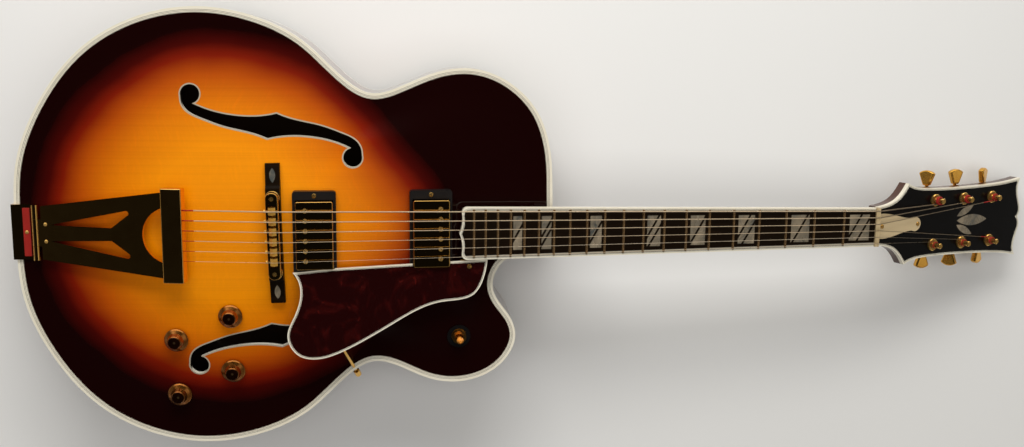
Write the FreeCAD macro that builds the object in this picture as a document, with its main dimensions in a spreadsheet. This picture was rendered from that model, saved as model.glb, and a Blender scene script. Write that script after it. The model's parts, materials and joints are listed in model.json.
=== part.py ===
import FreeCAD, Part
import math
import os
import Sketcher

# Archtop guitar lying on its back, in millimetres.
# X runs along the centre line from the tail to the headstock, Y to the bass side, Z out of the face.
# The origin is where the end pin meets the tail rim, half way up the rim.

Vec = FreeCAD.Vector
Spin = FreeCAD.Rotation
Place = FreeCAD.Placement

SIZES = {
    # Body
    "body_length": 552.0,
    "lower_bout_width": 457.0,
    "rim_depth": 86.0,
    "plate_thickness": 6.0,
    "rib_thickness": 3.0,
    "rib_seam_from_centre": 2.0,
    "cutaway_rib_from_tail": 356.0,
    "top_rise": 20.0,
    "back_rise": 18.0,
    "recurve_inset": 8.0,
    "recurve_width": 45.0,
    "binding_width": 2.2,
    "purfling_width": 3.8,
    "purfling_depth": 1.6,
    "lining_width": 6.0,
    "lining_height": 14.0,
    "neck_block_length": 48.0,
    "neck_block_width": 70.0,
    "tail_block_length": 20.0,
    "tail_block_width": 76.0,
    "tone_bar_width": 6.5,
    "tone_bar_depth": 11.0,
    "tone_bar_spread": 66.0,
    "cut_overrun": 5.0,
    "solid_reach": 400.0,
    # Sound holes
    "f_hole_span": 162.5,
    "f_hole_rise": 64.0,
    "f_hole_from_saddle": 2.0,
    "f_hole_from_centre": 109.5,
    "f_hole_round_radius": 9.6,
    "f_hole_binding_width": 1.4,
    # String plane and neck
    "saddle_from_tail": 263.5,
    "scale_length": 647.7,
    "board_over_rim": 40.0,
    "string_over_board_at_bridge": 5.0,
    "string_over_board_at_nut": 1.9,
    "string_spread_at_bridge": 52.0,
    "string_spread_at_nut": 36.0,
    "nut_width": 43.0,
    "octave_width": 52.0,
    "board_thickness": 6.5,
    "board_radius": 305.0,
    "board_overhang": 12.5,
    "board_cusp": 2.6,
    "board_corner": 6.0,
    "board_binding_width": 2.6,
    "fret_width": 2.6,
    "fret_height": 1.1,
    "fret_end_gap": 0.4,
    "inlay_depth": 1.8,
    "inlay_gap": 2.5,
    "nut_thickness": 5.0,
    "nut_over_board": 2.4,
    "nut_slot_clearance": 0.2,
    "neck_depth_at_nut": 14.5,
    "neck_depth_at_body": 18.0,
    "neck_past_nut": 4.6,
    "heel_reach": 76.0,
    "heel_tip_reach": 13.0,
    "heel_width": 44.0,
    "heel_tip_width": 29.0,
    "heel_set_in": 17.0,
    "heel_cap_thickness": 4.0,
    "heel_top_drop": 9.0,
    "neck_tongue_inset": 3.0,
    "truss_rod_radius": 2.4,
    "truss_rod_clearance": 0.1,
    "truss_rod_drop": 6.0,
    "truss_rod_length": 340.0,
    # Headstock
    "head_drop": 4.0,
    "head_face_gap": 0.6,
    "head_length": 222.0,
    "head_width": 92.0,
    "head_thickness": 15.0,
    "veneer_thickness": 2.0,
    "head_binding_width": 2.8,
    "head_binding_height": 5.0,
    "ornament_length": 46.0,
    "ornament_width": 13.0,
    "leaf_length": 27.0,
    "leaf_width": 8.0,
    "leaf_spread": 11.0,
    "ornament_from_nut": 146.0,
    "cover_length": 60.0,
    "cover_foot_width": 27.0,
    "cover_thickness": 2.0,
    "cover_gap": 1.5,
    # Machine heads
    "first_post_from_nut": 88.0,
    "post_pitch": 43.2,
    "post_row_spread": 51.0,
    "post_radius": 3.1,
    "post_waist_radius": 2.8,
    "post_height": 13.0,
    "post_hole_radius": 0.9,
    "post_hole_height": 10.6,
    "post_waist_start": 3.0,
    "post_waist_end": 9.6,
    "post_bevel": 0.6,
    "post_end_gap": 0.4,
    "running_clearance": 0.05,
    "bushing_radius": 4.6,
    "bushing_flange_radius": 7.0,
    "bushing_flange_thickness": 2.2,
    "bushing_bevel": 0.7,
    "bushing_depth": 6.0,
    "housing_length": 19.0,
    "housing_width": 15.0,
    "housing_depth": 10.0,
    "housing_round": 3.0,
    "shaft_offset": 5.5,
    "shaft_drop": 5.2,
    "shaft_radius": 2.0,
    "shaft_collar_radius": 3.2,
    "shaft_collar_length": 4.0,
    "shaft_reach_in": 5.0,
    "button_from_post": 14.2,
    "button_length": 17.4,
    "button_root_width": 7.8,
    "button_width": 18.0,
    "button_thickness": 6.5,
    "button_round": 2.0,
    # Strings
    "string_1_diameter": 0.31,
    "string_2_diameter": 0.41,
    "string_3_diameter": 0.61,
    "string_4_diameter": 0.81,
    "string_5_diameter": 1.07,
    "string_6_diameter": 1.32,
    "string_bend_length": 2.2,
    "winding_gap": 0.6,
    "winding_clearance": 0.35,
    "winding_height": 3.6,
    "winding_lead": 4.0,
    "string_tail": 3.0,
    # Pickups
    "bridge_pickup_from_saddle": 41.0,
    "neck_pickup_from_saddle": 160.0,
    "pickup_length": 70.0,
    "pickup_width": 37.5,
    "pickup_depth": 26.0,
    "pickup_round": 2.0,
    "pickup_under_strings": 5.5,
    "pickup_clearance": 0.5,
    "pole_row_offset": 9.2,
    "pole_radius": 2.4,
    "pole_height": 0.9,
    "ring_length": 89.0,
    "ring_width": 44.0,
    "ring_under_pickup": 9.4,
    "ring_round": 3.0,
    # Bridge
    "bridge_base_length": 145.0,
    "bridge_base_width": 14.5,
    "bridge_step_length": 94.0,
    "bridge_scoop": 6.0,
    "bridge_wing_over_rim": 24.5,
    "bridge_wing_tip_over_rim": 21.5,
    "bridge_step_over_rim": 28.5,
    "bridge_post_spread": 77.0,
    "bridge_post_radius": 2.3,
    "bridge_post_height": 11.2,
    "thumbwheel_radius": 7.2,
    "thumbwheel_thickness": 2.4,
    "thumbwheel_lift": 2.2,
    "thumbwheel_bevel": 0.5,
    "bar_gap": 0.3,
    "bar_length": 89.0,
    "bar_width": 12.5,
    "bar_height": 7.2,
    "bar_round": 1.6,
    "bar_channel_length": 62.0,
    "bar_channel_width": 7.4,
    "bar_channel_depth": 4.4,
    "bar_post_clearance": 0.1,
    "saddle_width": 7.6,
    "saddle_string_gap": 0.3,
    "saddle_ridge": 0.8,
    "saddle_side_gap": 0.05,
    "saddle_screw_radius": 1.8,
    "saddle_screw_length": 2.0,
    "bridge_ornament_length": 15.0,
    "bridge_ornament_width": 6.0,
    "bridge_ornament_inset": 12.0,
    # Tailpiece
    "hinge_from_tail": 22.0,
    "hinge_over_rim": 5.5,
    "hinge_knuckle_radius": 3.6,
    "hinge_pin_radius": 1.5,
    "hinge_pin_clearance": 0.05,
    "hinge_side_gap": 0.3,
    "hinge_width": 57.0,
    "hinge_centre_width": 28.0,
    "leaf_thickness": 2.5,
    "leaf_drop": 70.0,
    "tail_plate_thickness": 3.2,
    "tail_plate_start": 6.5,
    "tail_arm_reach": 133.0,
    "tail_root_width": 55.0,
    "tail_fork_width": 88.0,
    "crossbar_length": 97.0,
    "crossbar_depth": 21.5,
    "crossbar_thickness": 12.0,
    "crossbar_round": 1.5,
    "tail_moon_width": 56.0,
    "tail_window_round": 2.4,
    "tail_moon_depth": 21.0,
    "end_pin_radius": 7.0,
    "end_pin_neck_radius": 4.4,
    "end_pin_length": 13.5,
    "end_pin_head": 4.0,
    "end_pin_bevel": 1.2,
    "end_pin_peg_radius": 3.5,
    "end_pin_peg_length": 16.0,
    # Pickguard
    "guard_length": 200.5,
    "guard_drop": 102.0,
    "guard_from_saddle": 18.5,
    "guard_from_centre": 28.6,
    "guard_under_board_plane": 5.4,
    "guard_thickness": 3.0,
    "guard_binding_width": 2.4,
    "guard_notch_clearance": 0.9,
    "guard_block_length": 18.0,
    "guard_block_width": 22.0,
    "guard_block_depth": 7.0,
    "guard_block_from_end": 10.0,
    "bracket_rod_radius": 1.7,
    "bracket_knurl_radius": 3.4,
    "bracket_knurl_length": 8.0,
    "bracket_foot_radius": 2.2,
    "bracket_rod_from_guard_end": 152.5,
    "bracket_rod_from_edge": 12.0,
    "bracket_foot_from_saddle": 79.0,
    "bracket_foot_under_rim": 9.0,
    "bracket_stand_off": 5.5,
    # Controls
    "knob_radius": 12.4,
    "knob_lip": 1.0,
    "knob_skirt_height": 3.4,
    "knob_waist_radius": 8.6,
    "knob_waist_height": 5.6,
    "knob_top_radius": 7.0,
    "knob_height": 11.0,
    "knob_dish_radius": 5.6,
    "knob_dish_depth": 1.0,
    "knob_bore_depth": 7.6,
    "knob_lift": 2.6,
    "pot_shaft_radius": 3.0,
    "pot_can_radius": 11.8,
    "pot_can_height": 9.0,
    "pot_can_gap": 0.5,
    "pot_bushing_radius": 4.6,
    "pot_bushing_rise": 2.4,
    "control_hole_clearance": 0.15,
    "front_knobs_from_saddle": 48.0,
    "rear_knobs_from_saddle": 104.5,
    "inner_front_knob_from_centre": 86.5,
    "inner_rear_knob_from_centre": 112.5,
    "outer_front_knob_from_centre": 147.0,
    "outer_rear_knob_from_centre": 173.0,
    "switch_from_saddle": 189.0,
    "switch_from_centre": 115.0,
    "switch_ring_radius": 12.5,
    "switch_ring_thickness": 1.6,
    "switch_nut_radius": 7.5,
    "switch_nut_height": 4.5,
    "switch_bore_radius": 4.4,
    "switch_bushing_radius": 5.9,
    "switch_pivot_depth": 4.0,
    "switch_ball_radius": 2.2,
    "switch_can_width": 22.0,
    "switch_can_depth": 26.0,
    "switch_lever_radius": 1.5,
    "switch_tip_radius": 3.7,
    "switch_tip_start": 11.5,
    "switch_tip_length": 11.0,
    # Output jack
    "jack_from_tail": 182.0,
    "jack_bore_radius": 3.25,
    "jack_sleeve_radius": 4.7,
    "jack_nut_radius": 7.6,
    "jack_nut_thickness": 6.5,
    "jack_nut_bevel": 1.0,
    "jack_inner_radius": 3.9,
    "jack_can_radius": 7.4,
    "jack_can_length": 24.0,
    "jack_can_gap": 0.75,
    "jack_seat_lift": 0.14,
    "jack_hole_clearance": 0.1,
    # Screws
    "screw_head_radius": 2.4,
    "screw_head_height": 1.3,
    "screw_edge": 0.4,
    "ring_screw_inset": 4.6,
    "cover_screw_inset": 4.2,
    "leaf_screw_drop": 22.0,
    "leaf_screw_spread": 34.0,
}

ANGLES = {
    "neck_pitch_deg": 3.5,
    "head_pitch_deg": 15.0,
    "bridge_skew_deg": 1.2,
    "tail_tilt_deg": 9.5,
    "leaf_turn_deg": 26.0,
}

FRET_COUNT = 20
OCTAVE_FRETS = 12
STRING_COUNT = 6
WINDING_QUARTERS = 9
OUTLINE_SAMPLES = 280
OUTLINE_LAP = 6
INSET_SAMPLES = 16
ARCH_COLUMNS = 60
ARCH_ROWS = 50

# Body outline from the tail, round the bass side to the neck and back along the cutaway side.
# Across is a share of half the lower bout width, along is a share of the body length.
OUTLINE_SHARES = (
    (0.000, 0.000), (0.007, 0.300), (0.052, 0.570), (0.136, 0.820), (0.225, 0.946), (0.330, 1.000),
    (0.435, 0.968), (0.533, 0.853), (0.609, 0.684), (0.655, 0.626), (0.705, 0.652), (0.768, 0.715),
    (0.836, 0.741), (0.889, 0.712), (0.934, 0.644), (0.968, 0.550), (0.988, 0.437), (0.997, 0.322),
    (1.000, 0.150), (1.000, 0.000), (0.992, -0.075), (0.965, -0.108), (0.935, -0.120),
    (0.911, -0.144), (0.891, -0.205), (0.886, -0.275), (0.899, -0.350), (0.920, -0.420),
    (0.931, -0.510), (0.920, -0.595), (0.889, -0.675), (0.851, -0.718), (0.808, -0.732),
    (0.762, -0.713), (0.705, -0.652), (0.655, -0.626), (0.609, -0.684), (0.533, -0.853),
    (0.435, -0.968), (0.330, -1.000), (0.225, -0.946), (0.136, -0.820), (0.052, -0.570),
    (0.007, -0.300),
)
# Points where the outline is divided into runs: bouts, waists, neck, cutaway and horn.
OUTLINE_BREAKS = (0, 5, 9, 13, 19, 25, 29, 35, 39)
# Points up to the neck, mirrored for the arching, which takes no heed of the cutaway.
FULL_BOUT_COUNT = 20
ARCH_FULLNESS = 0.8

# Half of one edge of a sound hole, as shares of its span and rise, up to the notch and past it.
F_EDGE_SHARES = ((-0.365, 0.232), (-0.210, 0.158), (-0.069, 0.154))
F_NOTCH_SHARE = (0.030, 0.196)
F_TAIL_SHARES = ((0.142, 0.096), (0.310, -0.006), (0.429, -0.118), (0.524, -0.245))
F_NOOK_TURN_DEG = -78.0
F_JOIN_TURN_DEG = 14.0

# Half of the headstock outline: along is a share of its length, across of half its width.
HEAD_SHARES = ((0.075, 0.500), (0.150, 0.640), (0.190, 0.830), (0.214, 1.000))
HEAD_SIDE_SHARES = ((0.245, 0.930), (0.330, 0.862), (0.520, 0.842), (0.740, 0.870), (0.900, 0.930),
                    (0.985, 1.000))
HEAD_CREST_SHARES = ((0.971, 0.700), (0.985, 0.430), (0.998, 0.210), (0.984, 0.000))

# Pearl markers: how many pieces each block has, and how it sits in its fret space.
BUTTON_TURNS = {1: -8.0, 2: 112.0, 3: 18.0, 4: 26.0, 5: -8.0, 6: 113.0}
MARKER_PIECES = {1: 3, 3: 2, 5: 3, 7: 2, 9: 3, 12: 2, 15: 3, 17: 2}
MARKER_LENGTH_SHARE = 0.64
MARKER_WIDTH_SHARE = 0.66
MARKER_SLANT = 0.56
MARKER_CUT_SHARE = 0.5

# Tailpiece windows, as shares of the arm's reach and half the fork's width.
TAIL_WINDOW_SHARES = ((0.120, 0.190), (0.735, 0.565), (0.742, 0.470), (0.600, 0.150))

# Pickguard edge from the bridge end, round the treble side to the neck end.
GUARD_EDGE_SHARES = (
    (0.036, -0.288), (0.000, -0.560), (-0.034, -0.745), (-0.018, -0.868), (0.029, -0.966), (0.103, -1.000),
    (0.241, -0.932), (0.370, -0.805), (0.509, -0.648), (0.657, -0.491), (0.757, -0.433),
    (0.866, -0.410), (0.925, -0.367), (0.965, -0.268),
)
GUARD_TOP_SHARES = ((0.000, -0.098), (0.215, -0.062), (0.600, -0.030), (1.000, 0.000))

# Heel sections from the neck down to the cap: height, reach and width shares.
HEEL_SHARES = ((1.000, 1.000, 1.000), (0.830, 0.620, 0.930), (0.560, 0.220, 0.660), (0.280, 0.050, 0.260),
               (0.000, 0.000, 0.000))

# Tone bars along the body, as shares of its length.
TONE_BAR_START_SHARE = 0.16
TONE_BAR_END_SHARE = 0.84

# Truss rod cover outline shares: along its length, across half its foot width.
COVER_SIDE_SHARES = ((0.000, 1.000), (0.300, 0.930), (0.560, 0.660), (0.800, 0.520))

doc = FreeCAD.newDocument("archtop_guitar")
sheet = doc.addObject("Spreadsheet::Sheet", "Dimensions")
for row, (alias, value) in enumerate({**SIZES, **ANGLES}.items(), start=1):
    sheet.set(f"A{row}", alias)
    sheet.set(f"B{row}", str(value))
    sheet.setAlias(f"B{row}", alias)
doc.recompute()


class Sizes:
    """Reads a driving dimension from the sheet by its alias."""

    def __getattr__(self, alias):
        return float(sheet.get(alias))


d = Sizes()
nodes = []


# Helpers for sub-parts


def publish(obj, label):
    """Gives a finished sub-part its label and queues it for export."""
    obj.Label = label
    nodes.append(obj)
    return obj


def feature(label, shape, placement=None):
    """A sub-part whose form no sketch or primitive gives."""
    obj = doc.addObject("Part::Feature", label)
    obj.Shape = shape if placement is None else moved(shape, placement)
    return publish(obj, label)


def measure(text):
    """Value of a sum of sheet names, such as 'knob_height - knob_lip'."""
    total = 0.0
    sign = 1.0
    for word in text.split():
        if word in "+-":
            sign = 1.0 if word == "+" else -1.0
        elif word != "0":
            total += sign * getattr(d, word)
    return total


def expression(text):
    """The same sum as an expression on the sheet."""
    return " ".join(word if word in "+-0" else f"Dimensions.{word}" for word in text.split())


def profile_sketch(body, role, corners):
    """A closed sketch whose corners are bound to the sheet."""
    plane = next(item for item in body.Origin.OriginFeatures if item.Role == role)
    sketch = body.newObject("Sketcher::SketchObject", body.Name + "_profile")
    sketch.AttachmentSupport = (plane, [""])
    sketch.MapMode = "FlatFace"
    points = [Vec(measure(across), measure(up), 0) for across, up in corners]
    count = len(points)
    for index in range(count):
        sketch.addGeometry(Part.LineSegment(points[index], points[(index + 1) % count]), False)
    for index in range(count):
        sketch.addConstraint(Sketcher.Constraint("Coincident", index, 2, (index + 1) % count, 1))
    for index, (across, up) in enumerate(corners):
        for kind, text in (("DistanceX", across), ("DistanceY", up)):
            number = sketch.addConstraint(Sketcher.Constraint(kind, index, 1, measure(text)))
            if text != "0":
                sketch.setExpression(f"Constraints[{number}]", expression(text))
    return sketch


def turned(name, corners, placement=None):
    """A lathe-turned body; corners are radius and height sums of sheet names."""
    body = doc.addObject("PartDesign::Body", name)
    sketch = profile_sketch(body, "XZ_Plane", corners)
    revolution = body.newObject("PartDesign::Revolution", name + "_turning")
    revolution.Profile = sketch
    revolution.ReferenceAxis = (sketch, ["V_Axis"])
    revolution.Angle = 360
    if placement is not None:
        body.Placement = placement
    doc.recompute()
    return body


def cylinder(name, radius, height, placement=None):
    """A Part cylinder bound to two sheet names."""
    obj = doc.addObject("Part::Cylinder", name)
    obj.setExpression("Radius", expression(radius))
    obj.setExpression("Height", expression(height))
    if placement is not None:
        obj.Placement = placement
    doc.recompute()
    return obj


def box(name, length, width, height, placement=None):
    """A Part box bound to three sheet names, centred on X and Y, standing on its placement."""
    obj = doc.addObject("Part::Box", name)
    obj.setExpression("Length", expression(length))
    obj.setExpression("Width", expression(width))
    obj.setExpression("Height", expression(height))
    centred = Place(Vec(-measure(length) / 2, -measure(width) / 2, 0), Spin())
    obj.Placement = centred if placement is None else placement.multiply(centred)
    doc.recompute()
    return obj


def moved(shape, placement):
    """A copy of a shape carried by a placement."""
    copy = shape.copy()
    copy.Placement = placement.multiply(shape.Placement)
    return copy


def fused(shapes):
    """One solid from touching shapes."""
    whole = shapes[0].multiFuse(shapes[1:])
    return whole.removeSplitter()


def prism(wire, low, high):
    """The solid between two heights over a flat outline drawn at height zero."""
    base = Part.Face(wire)
    base.translate(Vec(0, 0, low))
    return base.extrude(Vec(0, 0, high - low))


def polygon(points):
    """A closed wire of straight runs at height zero."""
    corners = [Vec(x, y, 0) for x, y in points]
    return Part.makePolygon(corners + corners[:1])


def spline(points, start=None, end=None):
    """An open interpolated curve, with tangents at its ends where they are given."""
    curve = Part.BSplineCurve()
    if start is None:
        curve.interpolate(points)
    else:
        curve.interpolate(Points=points, InitialTangent=start, FinalTangent=end)
    return curve.toShape()


def offset_outline(wire, distance):
    """A closed outline moved outwards by a distance, each of its curves drawn as a spline."""
    edges = [spline(edge.discretize(Number=INSET_SAMPLES))
             for edge in wire.makeOffset2D(distance).OrderedEdges]
    return Part.Wire(Part.sortEdges(edges)[0])


def round_upright(shape, radius):
    """Rounds the upright edges of a block."""
    upright = [e for e in shape.Edges if abs(e.tangentAt(e.FirstParameter).z) > math.cos(math.pi / 6)]
    return shape.makeFillet(radius, upright)


def lens(length, width):
    """A pointed oval about the origin, its length along X."""
    tip = Vec(length / 2, 0, 0)
    side = Vec(0, width / 2, 0)
    upper = Part.Arc(-tip, side, tip).toShape()
    lower = Part.Arc(tip, -side, -tip).toShape()
    return Part.Wire([upper, lower])


# Frames of the neck, headstock and rim

rim_top = d.rim_depth / 2
half_bout = d.lower_bout_width / 2
neck_frame = Place(Vec(d.saddle_from_tail, 0, rim_top + d.board_over_rim),
                   Spin(Vec(0, 1, 0), d.neck_pitch_deg))
head_frame = neck_frame.multiply(Place(Vec(d.scale_length, 0, -d.head_drop),
                                       Spin(Vec(0, 1, 0), d.head_pitch_deg)))
neck_slope = math.tan(math.radians(d.neck_pitch_deg))


def board_plane(x):
    """Height of the fingerboard plane over the rim at a distance from the saddle line."""
    return d.board_over_rim - x * neck_slope


def fret_distance(number):
    """Distance of a fret from the saddle line along the neck."""
    return d.scale_length / 2 ** (number / OCTAVE_FRETS)


def board_half_width(distance):
    """Half the fingerboard's width at a distance from the saddle line."""
    gain = (d.octave_width - d.nut_width) / d.scale_length
    return d.nut_width / 2 + (d.scale_length - distance) * gain


# Body outline and arching


def closed_curve(points):
    """A closed curve through points, drawn past both its ends so that it meets itself smoothly."""
    curve = Part.BSplineCurve()
    curve.interpolate(points[-OUTLINE_LAP:] + points + points[:OUTLINE_LAP + 1])
    knots = curve.getKnots()
    curve.segment(knots[OUTLINE_LAP], knots[OUTLINE_LAP + len(points)])
    return curve


rim_curve = closed_curve([Vec(along * d.body_length, across * half_bout, 0)
                          for along, across in OUTLINE_SHARES])


def rim_wire(inset):
    """The rim's outline moved inwards by a distance, in runs from bout to bout."""
    curve = rim_curve
    if inset:
        knots = rim_curve.getKnots()
        points = []
        for start, end in zip(knots, knots[1:]):
            for where in (start, (start + end) / 2):
                along = rim_curve.tangent(where)[0]
                points.append(rim_curve.value(where) + Vec(along.y, -along.x, 0) * inset)
        curve = closed_curve(points)
    knots = curve.getKnots()
    per_share = (len(knots) - 1) // len(OUTLINE_SHARES)
    breaks = [knots[index * per_share] for index in OUTLINE_BREAKS] + [knots[-1]]
    edges = []
    for start, end in zip(breaks, breaks[1:]):
        run = curve.copy()
        run.segment(start, end)
        edges.append(run.toShape())
    return Part.Wire(edges)


def rim_prism(inset, low, high):
    """The solid inside the rim's outline between two heights."""
    return prism(rim_wire(inset), low, high)


def full_outline():
    """Points of the outline as if the cutaway side were like the bass side."""
    bass = [(along * d.body_length, across * half_bout)
            for along, across in OUTLINE_SHARES[:FULL_BOUT_COUNT]]
    treble = [(x, -y) for x, y in reversed(bass[1:-1])]
    curve = closed_curve([Vec(x, y, 0) for x, y in bass + treble])
    return curve.toShape().discretize(Number=OUTLINE_SAMPLES)


def polar_reach(points, centre):
    """Sorted table of direction and reach of an outline about a centre."""
    table = [(math.atan2(p.y, p.x - centre), math.hypot(p.x - centre, p.y)) for p in points]
    return sorted(table)


def reach_towards(table, angle):
    """Reach of an outline in one direction, read between the table's entries."""
    before = table[-1]
    for entry in table:
        if entry[0] >= angle:
            span = (entry[0] - before[0]) % (2 * math.pi)
            share = ((angle - before[0]) % (2 * math.pi)) / span if span else 0
            return before[1] + (entry[1] - before[1]) * share
        before = entry
    return table[0][1]


arch_reach = polar_reach(full_outline(), d.saddle_from_tail)
rim_points = rim_curve.toShape().discretize(Number=OUTLINE_SAMPLES)


def depth_inside(x, y):
    """Distance of a point inside the rim from its nearest edge, zero outside."""
    nearest = min(math.hypot(p.x - x, p.y - y) for p in rim_points)
    crossings = 0
    for p, q in zip(rim_points, rim_points[1:] + rim_points[:1]):
        if (p.y > y) != (q.y > y) and x < p.x + (y - p.y) / (q.y - p.y) * (q.x - p.x):
            crossings += 1
    return nearest if crossings % 2 else 0.0


def arch_share(x, y):
    """Height of the arching at a point, as a share of its rise."""
    away = math.hypot(x - d.saddle_from_tail, y)
    reach = reach_towards(arch_reach, math.atan2(y, x - d.saddle_from_tail)) - d.recurve_inset
    inward = max(0.0, 1 - away / reach)
    dome = (1 - math.cos(math.pi * inward ** ARCH_FULLNESS)) / 2
    edge = min(1.0, max(0.0, depth_inside(x, y) - d.recurve_inset) / d.recurve_width)
    return dome * edge * edge * (3 - 2 * edge)


def arch_face(base, rise):
    """The carved surface over the whole plan, rising from a base height."""
    margin = d.cut_overrun
    rows = []
    for i in range(ARCH_COLUMNS + 1):
        x = -margin + (d.body_length + 2 * margin) * i / ARCH_COLUMNS
        row = []
        for j in range(ARCH_ROWS + 1):
            y = (half_bout + margin) * (2 * j / ARCH_ROWS - 1)
            row.append(Vec(x, y, base + rise * arch_share(x, y)))
        rows.append(row)
    surface = Part.BSplineSurface()
    surface.interpolate(rows)
    return surface.toShape()


top_face = arch_face(rim_top, d.top_rise)
back_face = arch_face(-rim_top, -d.back_rise)
under_top = top_face.extrude(Vec(0, 0, -d.solid_reach))


def top_height(x, y):
    """Height of the top's outer surface at a point."""
    return rim_top + d.top_rise * arch_share(x, y)


def surface_frame(x, y):
    """A frame standing on the top with its Z along the surface's normal."""
    step = d.binding_width
    slope_x = (top_height(x + step, y) - top_height(x - step, y)) / (2 * step)
    slope_y = (top_height(x, y + step) - top_height(x, y - step)) / (2 * step)
    return Place(Vec(x, y, top_height(x, y)), Spin(Vec(0, 0, 1), Vec(-slope_x, -slope_y, 1)))


# Sound holes


def f_hole_wire():
    """The bass sound hole: two rounds joined by a notched S."""
    centre = Vec(d.saddle_from_tail - d.f_hole_from_saddle, d.f_hole_from_centre, 0)
    radius = d.f_hole_round_radius

    def spot(share, sign):
        return centre + Vec(share[0] * d.f_hole_span, share[1] * d.f_hole_rise, 0) * sign

    def on_round(sign, turn):
        middle = centre + Vec(-d.f_hole_span / 2, d.f_hole_rise / 2, 0) * sign
        angle = math.radians(turn)
        return middle + Vec(math.cos(angle), math.sin(angle), 0) * radius * sign

    edges = []
    for sign in (1, -1):
        nook = on_round(sign, F_NOOK_TURN_DEG)
        notch = spot(F_NOTCH_SHARE, sign)
        join = on_round(-sign, F_JOIN_TURN_DEG + 180)
        edges.append(spline([nook] + [spot(share, sign) for share in F_EDGE_SHARES] + [notch]))
        edges.append(spline([notch] + [spot(share, sign) for share in F_TAIL_SHARES] + [join]))
        far = on_round(-sign, (F_JOIN_TURN_DEG + 180 + F_NOOK_TURN_DEG) / 2)
        edges.append(Part.Arc(join, far, on_round(-sign, F_NOOK_TURN_DEG)).toShape())
    return Part.Wire(edges)


def mirrored(shape):
    """The same shape on the treble side."""
    return shape.mirror(Vec(0, 0, 0), Vec(0, 1, 0))


f_wire = f_hole_wire()
f_outer_wire = offset_outline(f_wire, d.f_hole_binding_width)
f_inner = prism(f_wire, 0, d.solid_reach)
f_outer = prism(f_outer_wire, 0, d.solid_reach)


# Places of the controls, pickups and strings


def from_saddle(distance):
    """X of a point a distance past the saddle line towards the neck."""
    return d.saddle_from_tail + distance


knob_places = {
    "neck_volume_knob": surface_frame(from_saddle(-d.front_knobs_from_saddle),
                                      -d.inner_front_knob_from_centre),
    "bridge_volume_knob": surface_frame(from_saddle(-d.rear_knobs_from_saddle),
                                        -d.inner_rear_knob_from_centre),
    "neck_tone_knob": surface_frame(from_saddle(-d.front_knobs_from_saddle),
                                    -d.outer_front_knob_from_centre),
    "bridge_tone_knob": surface_frame(from_saddle(-d.rear_knobs_from_saddle),
                                      -d.outer_rear_knob_from_centre),
}
switch_place = surface_frame(from_saddle(d.switch_from_saddle), -d.switch_from_centre)


def string_diameter(number):
    """Diameter of a string, the first being the thinnest."""
    return getattr(d, f"string_{number}_diameter")


def string_offset(number, spread):
    """Y of a string for a spread between the outer strings."""
    return spread * ((number - 1) / (STRING_COUNT - 1) - 0.5)


def board_drop(y):
    """How far the fingerboard's round falls at a distance from its centre line."""
    return d.board_radius - math.sqrt(d.board_radius ** 2 - y * y)


def string_at_saddle(number):
    """Centre of a string where it crosses its saddle."""
    y = string_offset(number, d.string_spread_at_bridge)
    skew = -y * math.tan(math.radians(d.bridge_skew_deg))
    return neck_frame.multVec(Vec(skew, y, d.string_over_board_at_bridge - board_drop(y)))


def string_at_nut(number):
    """Centre of a string where it leaves the nut, in the neck's frame."""
    y = string_offset(number, d.string_spread_at_nut)
    return Vec(d.scale_length + d.nut_thickness, y, d.string_over_board_at_nut - board_drop(y))


def string_height(distance):
    """Height of the middle of the string plane over the rim near the bridge."""
    share = distance / d.scale_length
    over = d.string_over_board_at_bridge * (1 - share) + d.string_over_board_at_nut * share
    return board_plane(distance) + over


def post_spot(number):
    """Place of a string's post on the headstock face, in the headstock's frame."""
    side = 1 if number > STRING_COUNT / 2 else -1
    order = STRING_COUNT - number if side > 0 else number - 1
    return Vec(d.first_post_from_nut + order * d.post_pitch, side * d.post_row_spread / 2, 0), side


# Body pieces


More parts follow.
